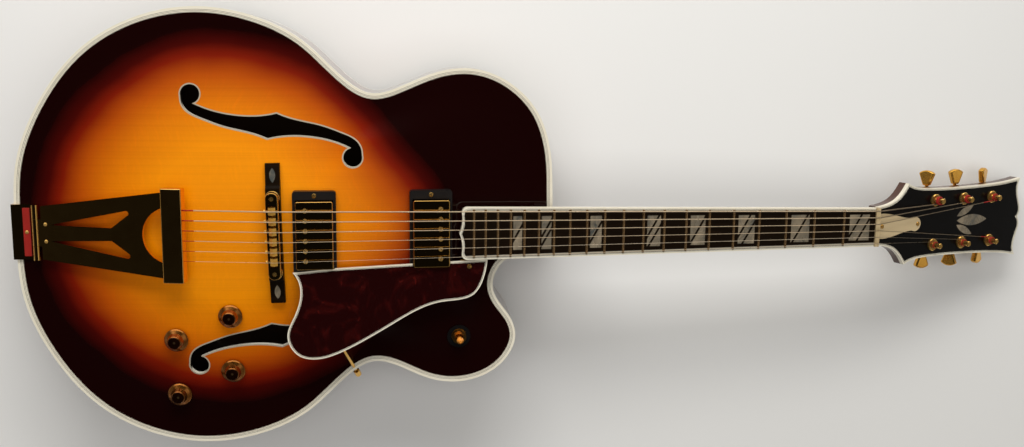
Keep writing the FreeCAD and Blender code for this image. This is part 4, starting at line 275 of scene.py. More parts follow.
class Finish:
    """A material in the making."""

    def __init__(self, name, **constants):
        self.material = bpy.data.materials.new(name)
        self.material.use_nodes = True
        self.tree = self.material.node_tree
        self.shader = self.tree.nodes["Principled BSDF"]
        for socket, value in constants.items():
            self.feed(socket.replace("_", " ").title().replace("Ior", "IOR"), value)
        self.where = self.node("ShaderNodeTexCoord", {}, {}, "Object")

    def plug(self, socket, value):
        """Link a wire to a socket, or set the socket to a number or colour."""
        if isinstance(value, Wire):
            self.tree.links.new(value.socket, socket)
        elif socket.type == "RGBA":
            socket.default_value = (*value, 1.0)
        else:
            socket.default_value = value

    def feed(self, socket, value):
        """Give a value to a socket of the material's shader."""
        self.plug(self.shader.inputs[socket], value)

    def node(self, kind, settings, values, output=0):
        """Add a node, set it up, fill its sockets and return one of its outputs."""
        made = self.tree.nodes.new(kind)
        for key, value in settings.items():
            if key == "stops":
                ramp = made.color_ramp
                while len(ramp.elements) < len(value):
                    ramp.elements.new(1.0)
                for element, (place, shade) in zip(ramp.elements, value):
                    element.position = place
                    element.color = (*shade, 1.0)
            else:
                setattr(made, key, value)
        for key, value in values.items():
            self.plug(made.inputs[key], value)
        return Wire(self, made.outputs[output])

    def math(self, operation, *values):
        """A Math node on values and wires."""
        return self.node("ShaderNodeMath", {"operation": operation}, dict(enumerate(values)))

    def place(self, axes="XYZ"):
        """Position on the guitar along each of some axes."""
        return [self.node("ShaderNodeSeparateXYZ", {}, {"Vector": self.where}, axis) for axis in axes]

    def normal(self, axis):
        """How far the surface looks along an axis of the guitar."""
        facing = self.node("ShaderNodeTexCoord", {}, {}, "Normal")
        return self.node("ShaderNodeSeparateXYZ", {}, {"Vector": facing}, axis)

    def turned(self, pivot, axis):
        """Height along an axis through a pivot and distance from it."""
        x, y, z = (value - start for value, start in zip(self.place(), pivot))
        along = x * axis.x + y * axis.y + z * axis.z
        return along, (x * x + y * y + z * z - along * along).most(0.0).root()

    def vector(self, x, y, z):
        """A vector from three values."""
        return self.node("ShaderNodeCombineXYZ", {}, {"X": x, "Y": y, "Z": z})

    def noise(self, vector, detail=2.0, distortion=0.0):
        """Soft noise between nothing and one."""
        return self.node("ShaderNodeTexNoise", {}, {"Vector": vector, "Scale": 1.0, "Detail": detail,
                                                    "Distortion": distortion})

    def grain(self, scale, detail=2.0, distortion=0.0):
        """Soft noise over the position on the guitar, scaled alike or along each axis."""
        scale = scale if isinstance(scale, tuple) else (scale,) * 3
        stretched = self.node("ShaderNodeVectorMath", {"operation": "MULTIPLY"}, {0: self.where, 1: scale})
        return self.noise(stretched, detail, distortion)

    def ramp(self, value, stops, interpolation="EASE"):
        """Colour by value."""
        ramp = self.node("ShaderNodeValToRGB", {"stops": stops}, {"Fac": value})
        ramp.socket.node.color_ramp.interpolation = interpolation
        return ramp

    def mix(self, share, first, second, blend="MIX"):
        """Mix of two colours."""
        return self.node("ShaderNodeMix", {"data_type": "RGBA", "blend_type": blend, "clamp_factor": True},
                         {0: share, 6: first, 7: second}, 2)

    def done(self, tone, rough, height=None, strength=0.0, depth=0.0):
        """Feed a colour, a roughness and a height to the shader and return the finished material."""
        self.feed("Base Color", tone)
        self.feed("Roughness", rough)
        if height is not None:
            self.feed("Normal", self.node("ShaderNodeBump", {},
                                          {"Height": height, "Strength": strength, "Distance": depth}))
        return self.material


class Backdrop(Finish):
    """The walls and ceiling of the room in the making."""

    def __init__(self, world):
        self.tree = world.node_tree
        self.shader = self.tree.nodes["Background"]


def tinted(tone, *shares):
    """A colour with its channels scaled, by one share for all or one for each."""
    return [channel * share for channel, share in zip(tone, shares * 3 if len(shares) == 1 else shares)]


# Mesh helpers


def dress(nodes, material):
    """Give a material to nodes of the frame."""
    for node in nodes:
        mesh = frame["nodes"][node].data
        if not mesh.materials:
            mesh.materials.append(material)
        for slot in frame["nodes"][node].material_slots:
            slot.material = material


def placed(name, work, material):
    """Turn a mesh under construction into an object in the scene."""
    mesh = bpy.data.meshes.new(name)
    work.to_mesh(mesh)
    work.free()
    mesh.materials.append(material)
    made = bpy.data.objects.new(name, mesh)
    bpy.context.scene.collection.objects.link(made)
    return made


def piece(name, work, material, body):
    """Turn a mesh under construction into a piece that rides on a body."""
    made = placed(name, work, material)
    if body:
        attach(made, body)
    return made


def welded(node):
    """Working copy of a node's mesh with its split corners joined."""
    work = bmesh.new()
    work.from_mesh(frame["nodes"][node].data)
    bmesh.ops.remove_doubles(work, verts=work.verts, dist=2e-6)
    work.normal_update()
    return work


def islands(work):
    """Groups of faces that hang together, in the order of their first faces."""
    left = set(work.faces)
    groups = []
    for first in work.faces:
        if first not in left:
            continue
        left.remove(first)
        open_faces = [first]
        group = []
        while open_faces:
            face = open_faces.pop()
            group.append(face)
            for edge in face.edges:
                for other in edge.link_faces:
                    if other in left:
                        left.remove(other)
                        open_faces.append(other)
        groups.append(group)
    return groups


def border_loops(faces):
    """Closed loops of points round a group of faces."""
    chosen = set(faces)
    following = {}
    for face in faces:
        for loop in face.loops:
            if sum(other in chosen for other in loop.edge.link_faces) == 1:
                following.setdefault(loop.vert, []).append(loop.link_loop_next.vert)
    loops = []
    while following:
        start = here = next(iter(following))
        loop = []
        while here in following:
            loop.append(here.co.copy())
            ways = following[here]
            ahead = ways.pop()
            if not ways:
                del following[here]
            here = ahead
            if here is start:
                break
        loops.append(loop)
    return loops


def upward_loops(node, up):
    """Closed loops round the faces of a node that look along a direction."""
    work = welded(node)
    loops = border_loops([face for face in work.faces if face.normal.dot(up) > FACING_UP])
    work.free()
    return loops


def round_length(loop):
    """Length of a closed loop of points."""
    return sum((a - b).length for a, b in zip(loop, loop[1:] + loop[:1]))


def nearest(loop, point):
    """The point of a closed loop nearest to a point."""
    best, gap = None, 1e9
    for a, b in zip(loop, loop[1:] + loop[:1]):
        run = b - a
        share = (point - a).dot(run) / run.length_squared if run.length_squared else 0.0
        spot = a + run * max(0.0, min(1.0, share))
        if (spot - point).length < gap:
            best, gap = spot, (spot - point).length
    return best


def tube(work, points, radii, sides=10):
    """Sweep a ring along points, keeping it from twisting, and close both ends."""
    tangents = []
    for index, point in enumerate(points):
        ahead = points[min(index + 1, len(points) - 1)]
        behind = points[max(index - 1, 0)]
        tangents.append((ahead - behind).normalized())
    side = tangents[0].orthogonal().normalized()
    rings = []
    for point, tangent, radius in zip(points, tangents, radii):
        side = (side - tangent * side.dot(tangent)).normalized()
        other = tangent.cross(side)
        rings.append([work.verts.new(point + (side * math.cos(turn) + other * math.sin(turn)) * radius)
                      for turn in (2 * math.pi * k / sides for k in range(sides))])
    for ring, following in zip(rings, rings[1:]):
        for k in range(sides):
            face = work.faces.new((ring[k], ring[(k + 1) % sides], following[(k + 1) % sides], following[k]))
            face.smooth = True
    work.faces.new(reversed(rings[0]))
    work.faces.new(rings[-1])


# Finishes of the wood


def burst_depth(x, y):
    """How far a place lies outside the bright field of the sunburst."""
    burst = bpy.context.scene.guitar_burst
    y = y - burst.field_rise
    taper = burst.field_radius - burst.tongue_radius
    lean = taper / burst.tongue_reach
    tilt = lean / math.sqrt(1 - lean * lean)
    share = ((x - abs(y) * tilt - burst.field_centre) / burst.tongue_reach).held()
    along = x - share * burst.tongue_reach - burst.field_centre
    return (along * along + y * y).root() + share * taper - burst.field_radius


def burst_colour(finish, depth):
    """Coats of the sunburst by depth, from the bright field to the rim."""
    burst = bpy.context.scene.guitar_burst
    share = (depth + burst.glow_width) / (burst.glow_width + burst.spray_width)
    border = burst.glow_width / (burst.glow_width + burst.spray_width)
    coats = ((0.17, burst.orange), (0.50, burst.cherry), (0.73, burst.maroon), (1.0, burst.edge))
    stops = [(0.0, burst.core), (0.70 * border, burst.amber)]
    stops += [(border + place * (1.0 - border), shade) for place, shade in coats]
    return finish.ramp(share, stops, "LINEAR")


def sunburst_spruce():
    """Carved spruce under a sprayed sunburst."""
    finish = Finish("sunburst_spruce", coat_weight=1.0, coat_roughness=0.05, specular_ior_level=0.12)
    x, y = finish.place("XY")
    sway = finish.grain((3.0, 9.0, 0.0)) - 0.5
    rings = finish.noise(finish.vector(x * 2.5, (y + sway * 0.004) * 560.0, 0.0), detail=2.0)
    silk = finish.noise(finish.vector(x * 330.0 + sway * 30.0, y * 55.0, 0.0), detail=2.0, distortion=0.6)
    patches = finish.grain((14.0, 20.0, 0.0))
    depth = burst_depth(x, y) + (patches - 0.5) * 0.012
    tone = burst_colour(finish, depth)
    tone = finish.mix((rings - 0.42) * 0.55, tone, (0.62, 0.42, 0.30), "MULTIPLY")
    tone = finish.mix((silk - 0.50).most(0.0) * 0.9 * (1.0 - depth.step(-0.04, 0.04)), tone,
                      (1.0, 0.62, 0.12), "SOFT_LIGHT")
    return finish.done(tone, 0.30 + rings * 0.12, rings * 0.6 + silk * 0.25, 0.05, 0.0004)


def flamed_maple(name, dark):
    """Curly maple under a brown sunburst."""
    burst = bpy.context.scene.guitar_burst
    finish = Finish(name, coat_weight=1.0, coat_roughness=0.06, specular_ior_level=0.15)
    x, y, z = finish.place()
    waves = finish.grain((95.0, 26.0, 2.0), 2.0, 0.8)
    pores = finish.grain((60.0, 900.0, 900.0))
    if dark:
        half_depth = 43.0 * MM
        tone = finish.ramp(abs(z) / half_depth + (waves - 0.5) * 0.1,
                           ((0.0, (0.20, 0.040, 0.010)), (0.45, (0.13, 0.020, 0.006)),
                            (0.8, burst.maroon), (1.0, burst.edge)))
    else:
        tone = burst_colour(finish, burst_depth(x, y) * 0.9 + 0.004)
    tone = finish.mix((waves - 0.45) * 1.5, tone, (0.34, 0.24, 0.20), "MULTIPLY")
    tone = finish.mix((pores - 0.55) * 1.2, tone, (0.3, 0.2, 0.15), "MULTIPLY")
    if not dark:
        # Painted shade: faces that look up, the inside of the back, are painted dark brown for the shade
        # inside the hollow body.
        inside = finish.normal("Z").step(0.20, 0.50)
        tone = finish.mix(inside, tone, (0.030, 0.015, 0.008))
    return finish.done(tone, 0.30 + waves * 0.10, pores, 0.04, 0.0003)


def neck_maple():
    """Neck of maple with two dark strips, under brown lacquer."""
    finish = Finish("neck_lacquer", coat_weight=0.6, coat_roughness=0.08, specular_ior_level=0.20)
    y, = finish.place("Y")
    grain = finish.grain((9.0, 420.0, 420.0), 3.0)
    waves = finish.grain((120.0, 10.0, 10.0), 1.0, 0.5)
    strip_place, strip_half = 5.2 * MM, 1.1 * MM
    strip = abs(abs(y) - strip_place) < strip_half
    tone = finish.ramp(grain * 0.7 + waves * 0.3, (
        (0.2, (0.030, 0.008, 0.004)), (0.5, (0.058, 0.016, 0.006)), (0.8, (0.085, 0.026, 0.009))))
    tone = finish.mix(strip, tone, (0.014, 0.006, 0.004))
    return finish.done(tone, 0.32 + grain * 0.15, grain, 0.05, 0.0003)


def bare_wood():
    """Unfinished wood inside the body."""
    finish = Finish("bare_wood")
    grain = finish.grain((14.0, 260.0, 260.0), 3.0)
    saw = finish.grain((700.0, 60.0, 60.0))
    return finish.done(finish.ramp(grain, ((0.25, (0.30, 0.17, 0.075)), (0.75, (0.52, 0.34, 0.17)))),
                       0.62 + saw * 0.3, grain * 0.7 + saw * 0.3, 0.25, 0.0006)


def board_sides(board):
    """Half width of the fingerboard in the neck's frame, as its value at the saddle and its slope."""
    places = [NECK_FRAME.inverted() @ vert.co for vert in frame["nodes"][board].data.vertices]
    wide = max(places, key=lambda place: place.y)
    beyond = [place for place in places if place.x > wide.x + BOARD_RUN]
    narrow = max(beyond, key=lambda place: place.x + place.y)
    slope = (narrow.y - wide.y) / (narrow.x - wide.x)
    return wide.y - wide.x * slope, slope


def ebony(name, board=None):
    """Ebony with faint brown streaks and open pores, with a pale ply along the sides of the board."""
    trim = bpy.context.scene.guitar_trim
    finish = Finish(name, specular_ior_level=0.10)
    x, y, z = finish.place()
    streaks = finish.grain((7.0, 240.0, 240.0), 4.0)
    pores = finish.grain((130.0, 1900.0, 1900.0))
    tone = finish.mix(streaks.step(0.56, 0.80) * 0.5, trim.ebony, (0.026, 0.011, 0.004))
    if board:
        start, slope = board_sides(board)
        way = NECK_FRAME.to_3x3() @ Vector((1.0, 0.0, 0.0))
        along = (x - SADDLE.x) * way.x + (z - SADDLE.z) * way.z
        inward = along * slope + start - abs(y)
        tone = finish.mix((inward > 0.25 * MM) * (inward < trim.ply_width), tone, trim.edging)
    return finish.done(tone, 0.36 + pores * 0.22, pores.step(0.35, 0.6), 0.12, 0.0003)


def black_lacquer():
    """Black lacquer with faint polishing haze."""
    finish = Finish("black_lacquer", coat_weight=0.55, coat_roughness=0.04, specular_ior_level=0.08)
    haze = finish.grain(35.0, 4.0)
    rub = finish.grain((60.0, 1500.0, 60.0))
    return finish.done(finish.mix(haze, (0.0012, 0.0010, 0.0009), (0.003, 0.0024, 0.002)),
                       0.26 + haze * 0.14 + rub * 0.06, rub, 0.02, 0.0002)


class GUITAR_OT_finish_wood(bpy.types.Operator):
    """Finish the plates, ribs, neck, fingerboard and the wood inside the body"""
    bl_idname = "guitar.finish_wood"
    bl_label = "Finish Wood"

    def execute(self, context):
        dress(["top_plate"], sunburst_spruce())
        dress(["back_plate"], flamed_maple("sunburst_back", False))
        dress(["bass_rib", "treble_rib"], flamed_maple("sunburst_ribs", True))
        dress(["neck"], neck_maple())
        dress(["linings", "tone_bars", "end_blocks"], bare_wood())
        dress(["fingerboard"], ebony("bound_ebony", "fingerboard"))
        dress(["bridge_base"], ebony("ebony"))
        dress(["headstock_veneer"], black_lacquer())
        return {"FINISHED"}


# Finishes of the trim


def celluloid(name, tone, wall=None):
    """Pale plastic with faint grain, yellowed a little; where it lines a hole, its walls carry painted light
    and shade.
    """
    finish = Finish(name, coat_weight=0.5, coat_roughness=0.12)
    grain = finish.grain((45.0, 420.0, 420.0), 3.0)
    age = finish.grain(26.0)
    tone = finish.mix(age * 0.5, tone, tinted(tone, 0.78, 0.70, 0.54))
    tone = finish.mix((grain - 0.5) * 0.5, tone, (0.80, 0.72, 0.56), "MULTIPLY")
    if wall:
        # Painted light and shade on the walls of a hole: walls facing the bass side, where the key lamp
        # stands, get the wall colour as painted light, the other walls get a near-black painted shade; faces
        # that look up keep the plastic's colour.
        sides = finish.mix(finish.normal("Y").step(0.20, 0.60), (0.020, 0.015, 0.010), wall)
        tone = finish.mix(abs(finish.normal("Z")).step(0.45, 0.75), sides, tone)
    return finish.done(tone, 0.30 + age * 0.14, grain, 0.04, 0.0002)


def pearl_shell():
    """Mother of pearl with drifting cool and warm bands."""
    trim = bpy.context.scene.guitar_trim
    finish = Finish("pearl", coat_weight=0.8, coat_roughness=0.06, specular_ior_level=0.7)
    x, y, z = finish.place()
    drift = finish.grain((70.0, 45.0, 70.0), 3.0, 1.4)
    bands = finish.noise(finish.vector(drift * 6.0 + x * 60.0, y * 90.0, z * 40.0), detail=2.0)
    cool, warm = tinted(trim.pearl, 0.28, 0.40, 0.56), tinted(trim.pearl, 1.55, 1.50, 1.45)
    shells = finish.noise(finish.vector(x * 46.0 - y * 26.0, 0.0, 0.0), detail=1.0)
    tone = finish.ramp(bands * 0.35 + shells * 0.65, ((0.34, cool), (0.48, trim.pearl), (0.62, warm)))
    return finish.done(tone, 0.18 + drift * 0.2, bands, 0.10, 0.0004)


def bone():
    """Polished bone."""
    finish = Finish("bone", coat_weight=0.3, coat_roughness=0.15)
    pores = finish.grain((500.0, 140.0, 500.0), 3.0)
    return finish.done(finish.ramp(pores, ((0.25, (0.36, 0.26, 0.13)), (0.7, (0.50, 0.38, 0.21)))),
                       0.34 + pores * 0.16, pores, 0.08, 0.0002)


def tortoise_shell():
    """Dark red tortoise plastic with drifting flecks."""
    trim = bpy.context.scene.guitar_trim
    finish = Finish("tortoise", coat_weight=1.0, coat_roughness=0.04, specular_ior_level=0.12)
    drift = finish.grain((38.0, 30.0, 38.0), 4.0, 1.8)
    flecks = finish.grain((150.0, 110.0, 150.0), 3.0, 0.8)
    tone = finish.mix(drift.step(0.50, 0.78) * 0.34, trim.tortoise, trim.flame)
    tone = finish.mix(flecks.step(0.60, 0.78) * drift.step(0.42, 0.66) * 0.5, tone, tinted(trim.flame, 1.5))
    return finish.done(tone, 0.16 + flecks * 0.10, drift, 0.02, 0.0003)


def black_plastic():
    """Satin black plastic."""
    finish = Finish("black_plastic", specular_ior_level=0.3)
    grain = finish.grain(900.0)
    haze = finish.grain(60.0, 3.0)
    return finish.done(finish.mix(haze, (0.006, 0.005, 0.005), (0.013, 0.011, 0.010)),
                       0.32 + grain * 0.14, grain, 0.05, 0.0002)


def line_lacquer(name):
    """Dark ply between the white plies, and the shade in a slot."""
    trim = bpy.context.scene.guitar_trim
    finish = Finish(name, coat_weight=0.4, coat_roughness=0.15)
    haze = finish.grain(300.0)
    return finish.done(finish.mix(haze, trim.line, tinted(trim.line, 1.9)), 0.35 + haze * 0.15)


class GUITAR_OT_finish_trim(bpy.types.Operator):
    """Finish the bindings, inlays, nut, pickguard and pickup rings"""
    bl_idname = "guitar.finish_trim"
    bl_label = "Finish Trim"

    def execute(self, context):
        trim = context.scene.guitar_trim
        edges = ("top", "back", "fingerboard", "headstock", "pickguard")
        dress([edge + "_binding" for edge in edges], celluloid("ivory_binding", trim.ivory))
        # The f-hole edging gets painted light and shade on its walls.
        dress(["f_hole_bindings"], celluloid("hole_edging", trim.edging, trim.ivory))
        dress(["truss_rod_cover", "heel_cap"], celluloid("cream_cover", trim.cream))
        dress(["pearl_inlays"], pearl_shell())
        dress(["nut"], bone())
        dress(["pickguard"], tortoise_shell())
        dress(["pickup_rings"], black_plastic())
        return {"FINISHED"}


class GUITAR_OT_inlay_lines(bpy.types.Operator):
    """Lay the dark plies into the edge bindings"""
    bl_idname = "guitar.inlay_lines"
    bl_label = "Inlay Lines"

    def execute(self, context):
        ply = line_lacquer("dark_ply")
        head_up = HEAD_FRAME.to_3x3() @ UP
        neck_up = NECK_FRAME.to_3x3() @ UP
        for binding, core, up, shares, name in (
                ("top_binding", None, UP, (0.50, 0.70, 0.93), "top_edge_lines"),
                ("headstock_binding", "headstock_veneer", head_up, (0.60, 0.92), "headstock_lines"),
                ("fingerboard_binding", "fingerboard", neck_up, (0.62, 0.95), "fingerboard_lines"),
                ("pickguard_binding", "pickguard", UP, (0.58, 0.88), "pickguard_lines")):
            self.lay(binding, core, up, shares, name, ply)
        return {"FINISHED"}

    def lay(self, binding, core, up, shares, name, ply):
        """Lay lines along a binding at shares of its width, from its outside to the core it frames."""
        trim = bpy.context.scene.guitar_trim
        loops = sorted(upward_loops(binding, up), key=round_length)
        inner = loops[0] if core is None else max(upward_loops(core, up), key=round_length)
        outer = loops[-1]
        pairs = []
        for here, ahead in zip(outer, outer[1:] + outer[:1]):
            count = max(1, int((ahead - here).length / LINE_STEP))
            for part in range(count):
                point = here.lerp(ahead, part / count)
                pairs.append((point, nearest(inner, point)))
        widths = sorted((a - b).length for a, b in pairs)
        width = widths[len(widths) // 2 if core is None else -len(widths) // 4]
        lines = bmesh.new()
        for share in shares:
            rows = []
            for point, facing in pairs:
                gap = (facing - point).length
                half = 0.5 * trim.line_width / max(gap, 1e-6)
                rows.append(None if gap < LINE_ROOM * width else
                            [lines.verts.new(point.lerp(facing, place) + up * trim.line_lift)
                             for place in (share - half, share + half)])
            for row, following in zip(rows, rows[1:] + rows[:1]):
                if row and following:
                    face = lines.faces.new((row[0], following[0], following[1], row[1]))
                    face.normal_update()
                    if face.normal.dot(up) < 0:
                        face.normal_flip()
        if not lines.faces:
            raise RuntimeError(binding + " has no room for lines")
        piece(name, lines, ply, "guitar")


# Finishes of the metal


def plated(name, tone, rough, wear, metallic=1.0):
    """Plated metal with fine handling marks and a little wear."""
    finish = Finish(name, metallic=metallic)
    cloud = finish.grain(55.0, 4.0)
    marks = finish.grain((900.0, 160.0, 420.0), 3.0, 0.6)
    shade = finish.mix(cloud.step(0.40, 0.75) * wear, tone, tinted(tone, *WORN))
    rough = rough + cloud * 0.10 + marks.step(0.62, 0.80) * 0.10
    return finish.done(shade, rough, marks, 0.03, 0.0002)


def largest(groups):
    """The group of faces with the most surface."""
    return max(groups, key=lambda group: sum(face.calc_area() for face in group))


def cover_gold(node):
    """Mirror gold of a pickup cover, duller on the pole screws that stand out of it."""
    metal = bpy.context.scene.guitar_metal
    finish = Finish(node + "_gold")
    x, y, z = finish.place()
    up = NECK_FRAME.to_3x3() @ UP
    work = welded(node)
    top = max(vert.co.dot(up) for face in largest(islands(work)) for vert in face.verts)
    work.free()
    head = (x * up.x + y * up.y + z * up.z).step(top + 0.1 * MM, top + 0.3 * MM)
    cloud = finish.grain(55.0, 4.0)
    finish.feed("Metallic", 1.0 - head * 0.18)
    shade = finish.mix(cloud.step(0.40, 0.75) * 0.5, metal.gold, tinted(metal.gold, *WORN))
    return finish.done(shade, 0.05 + cloud * 0.10 + head * 0.25, cloud, 0.02, 0.0002)


def knob_amber(name, pivot, axis):
    """Amber plastic over gold paint, with a dark dished top and a painted highlight at its middle."""
    metal = bpy.context.scene.guitar_metal
    finish = Finish(name, coat_weight=0.2, coat_roughness=0.05, metallic=0.95)
    along, reach = finish.turned(pivot, axis)
    cloud = finish.grain(260.0, 3.0)
    fleck = finish.grain(1600.0, 1.0)
    tone = finish.mix(cloud.step(0.30, 0.75), metal.amber, tinted(metal.amber, 0.72, 0.60, 0.50))
    dish = (1.0 - reach.step(6.0 * MM, 6.9 * MM)) * along.step(10.0 * MM, 11.0 * MM)
    # Painted highlight: a pale dot at the middle of the dark top stands in for a glint there.
    centre = dish * (1.0 - reach.step(0.8 * MM, 1.7 * MM))
    tone = finish.mix(dish * 0.92, tone, (0.040, 0.008, 0.005))
    tone = finish.mix(centre * 0.6, tone, (0.60, 0.36, 0.16))
    return finish.done(tone, 0.16 + fleck * 0.10 + dish * 0.10, fleck, 0.04, 0.0002)


def ringed_finish(name, pivot, axis, metal, plastic, radius, low):
    """Two finishes on one turned piece: metal within a radius, plastic outside it and above a height."""
    finish = Finish(name, specular_ior_level=0.08)
    along, reach = finish.turned(pivot, axis)
    outside = (reach > radius) * (along > low)
    cloud = finish.grain(300.0, 3.0)
    inner = finish.mix(cloud * 0.5, metal, tinted(metal, 0.7))
    outer = finish.mix(cloud, plastic, tinted(plastic, 1.6))
    finish.feed("Metallic", 1.0 - outside)
    rough = 0.22 + cloud * 0.14 + outside * 0.12
    return finish.done(finish.mix(outside, inner, outer), rough, cloud, 0.03, 0.0002)


def tipped_finish(name, pivot, axis, start, shaft, tip):
    """A metal shaft with a plastic tip beyond a height."""
    finish = Finish(name, coat_weight=0.6, coat_roughness=0.08)
    along, _ = finish.turned(pivot, axis)
    capped = along > start
    cloud = finish.grain(500.0, 3.0)
    tone = finish.mix(cloud.step(0.35, 0.7), tip, tinted(tip, 0.55))
    finish.feed("Metallic", 1.0 - capped)
    return finish.done(finish.mix(capped, shaft, tone), 0.20 + cloud * 0.10, cloud, 0.03, 0.0002)


class GUITAR_OT_finish_metal(bpy.types.Operator):
    """Finish the plated hardware, frets, knobs, switch and hidden metal"""
    bl_idname = "guitar.finish_metal"
    bl_label = "Finish Metal"

    def execute(self, context):
        metal = context.scene.guitar_metal
        gold = plated("gold", metal.gold, 0.075, 0.8)
        soft_gold = plated("worn_gold", metal.gold, 0.16, 0.9, 0.92)
        buttons = ["tuner_button_%d" % number for number in range(1, 7)]
        posts = ["tuner_post_%d" % number for number in range(1, 7)]
        dress(["tailpiece", "tailpiece_hinge", "end_pin", "pickguard_bracket", "tuner_housings",
               "output_jack"], gold)
        for pickup in ("bridge_pickup", "neck_pickup"):
            dress([pickup], cover_gold(pickup))
        dress(buttons, plated("button_brass", metal.brass, 0.15, 0.5, 0.92))
        dress(["bridge_posts", "bass_thumbwheel", "treble_thumbwheel", "screws", "tuner_bushings"] + posts,
              soft_gold)
        dress(["bridge_bar"], plated("bar_gold", metal.gold, 0.10, 0.9))
        dress(["saddles"], plated("saddle_brass", metal.brass, 0.18, 0.4, 0.60))
        dress(["frets"], plated("fret_metal", metal.nickel, 0.20, 0.5, 0.80))
        dress(["truss_rod", "potentiometers"], plated("zinc", metal.zinc, 0.38, 0.8))
        for knob in ("neck_volume", "bridge_volume", "neck_tone", "bridge_tone"):
            pivot, axis = joint_axis(knob + "_turn")
            dress([knob + "_knob"], knob_amber(knob + "_amber", pivot, axis))
        pivot, axis = joint_axis("selector_tilt")
        dress(["switch_body"], ringed_finish("switch_ring", pivot, axis, metal.gold, (0.004, 0.0035, 0.0035),
                                             RING_RADIUS, RING_FOOT))
        dress(["switch_lever"], tipped_finish("switch_tip", pivot, axis, TIP_START, metal.gold, metal.tip))
        return {"FINISHED"}


def joint_axis(name):
    """Pivot of a joint and the direction out of the top there."""
    for joint in frame["joints"]:
        if joint["name"] == name:
            pivot, axis = Vector(joint["pos_m"]), Vector(joint["axis"])
            if axis.dot(UP) < 0.5:
                axis = (UP - axis * UP.dot(axis)).normalized()
            return pivot, axis
    raise RuntimeError("no joint " + name)


# Strings


def string_drop(across):
    """How far the strings fall away from the middle over the rounded fingerboard."""
    return BOARD_CURVE - math.sqrt(BOARD_CURVE * BOARD_CURVE - across * across)


def string_route(number, gauge):
    """Points of a string before the saddle, over the neck, and from the nut round its post."""
    share = 1.0 - 2.0 * (number - 1) / 5.0
    at_saddle, at_nut = -SADDLE_HALF * share, -NUT_HALF * share
    start = TAIL_FRAME @ Vector((CROSSBAR_REACH, at_saddle, 0.0))
    saddle = NECK_FRAME @ Vector((-at_saddle * math.tan(SADDLE_SKEW), at_saddle,
                                  SADDLE_RISE - string_drop(at_saddle)))
    nut = NECK_FRAME @ Vector((NUT_REACH, at_nut, NUT_RISE - string_drop(at_nut)))
    leaving = HEAD_FRAME.inverted() @ nut
    turn_way = 1.0 if number > 3 else -1.0
    row = number - 1 if number <= 3 else 6 - number
    spot = Vector((FIRST_POST + POST_PITCH * row, POST_ASIDE * turn_way, 0.0))
    radius = POST_RADIUS + gauge / 2
    away = spot - leaving
    heading = math.atan2(away.y, away.x) - turn_way * math.asin(radius / math.hypot(away.x, away.y))
    first = heading - turn_way * math.pi / 2
    turns = []
    for step in range(int(WINDING_TURNS * WINDING_STEPS) + 1):
        angle = first + turn_way * 2 * math.pi * step / WINDING_STEPS
        height = WINDING_FOOT + gauge / 2 + (gauge + WINDING_GAP) * step / WINDING_STEPS
        aside = Vector((radius * math.cos(angle), radius * math.sin(angle), height))
        turns.append(HEAD_FRAME @ (spot + aside))
    tail = turns[-1] + (turns[-1] - turns[-2]).normalized() * STRING_END
    return start, saddle, nut, turns + [tail]


def spread(first, last, count):
    """Evenly spread points from one point to another, both included."""
    return [first.lerp(last, step / count) for step in range(count + 1)]


def steel(name, tone, pitch, metallic):
    """String metal, with the ridges of its winding where it has one."""
    finish = Finish(name, metallic=metallic)
    cloud = finish.grain(120.0, 3.0)
    shade = finish.mix(cloud * 0.7, tone, tinted(tone, 0.72))
    relief = (cloud, 0.03, 0.0001)
    if pitch:
        x, = finish.place("X")
        relief = ((x * (2 * math.pi / pitch)).sine(), 0.5, 0.00008)
    return finish.done(shade, 0.22 + cloud * 0.16, *relief)


def red_silk():
    """Twisted silk thread."""
    strings = bpy.context.scene.guitar_strings
    finish = Finish("silk", sheen_weight=0.08)
    x, y, z = finish.place()
    twist = ((x + y * 0.6 + z * 0.8) * (2 * math.pi / (0.45 * MM))).sine()
    fuzz = finish.grain(2500.0)
    return finish.done(finish.mix(twist * 0.35 + fuzz * 0.5, strings.silk, tinted(strings.silk, 0.45)),
                       0.62 + fuzz * 0.25, twist * 0.6 + fuzz * 0.4, 0.4, 0.0001)


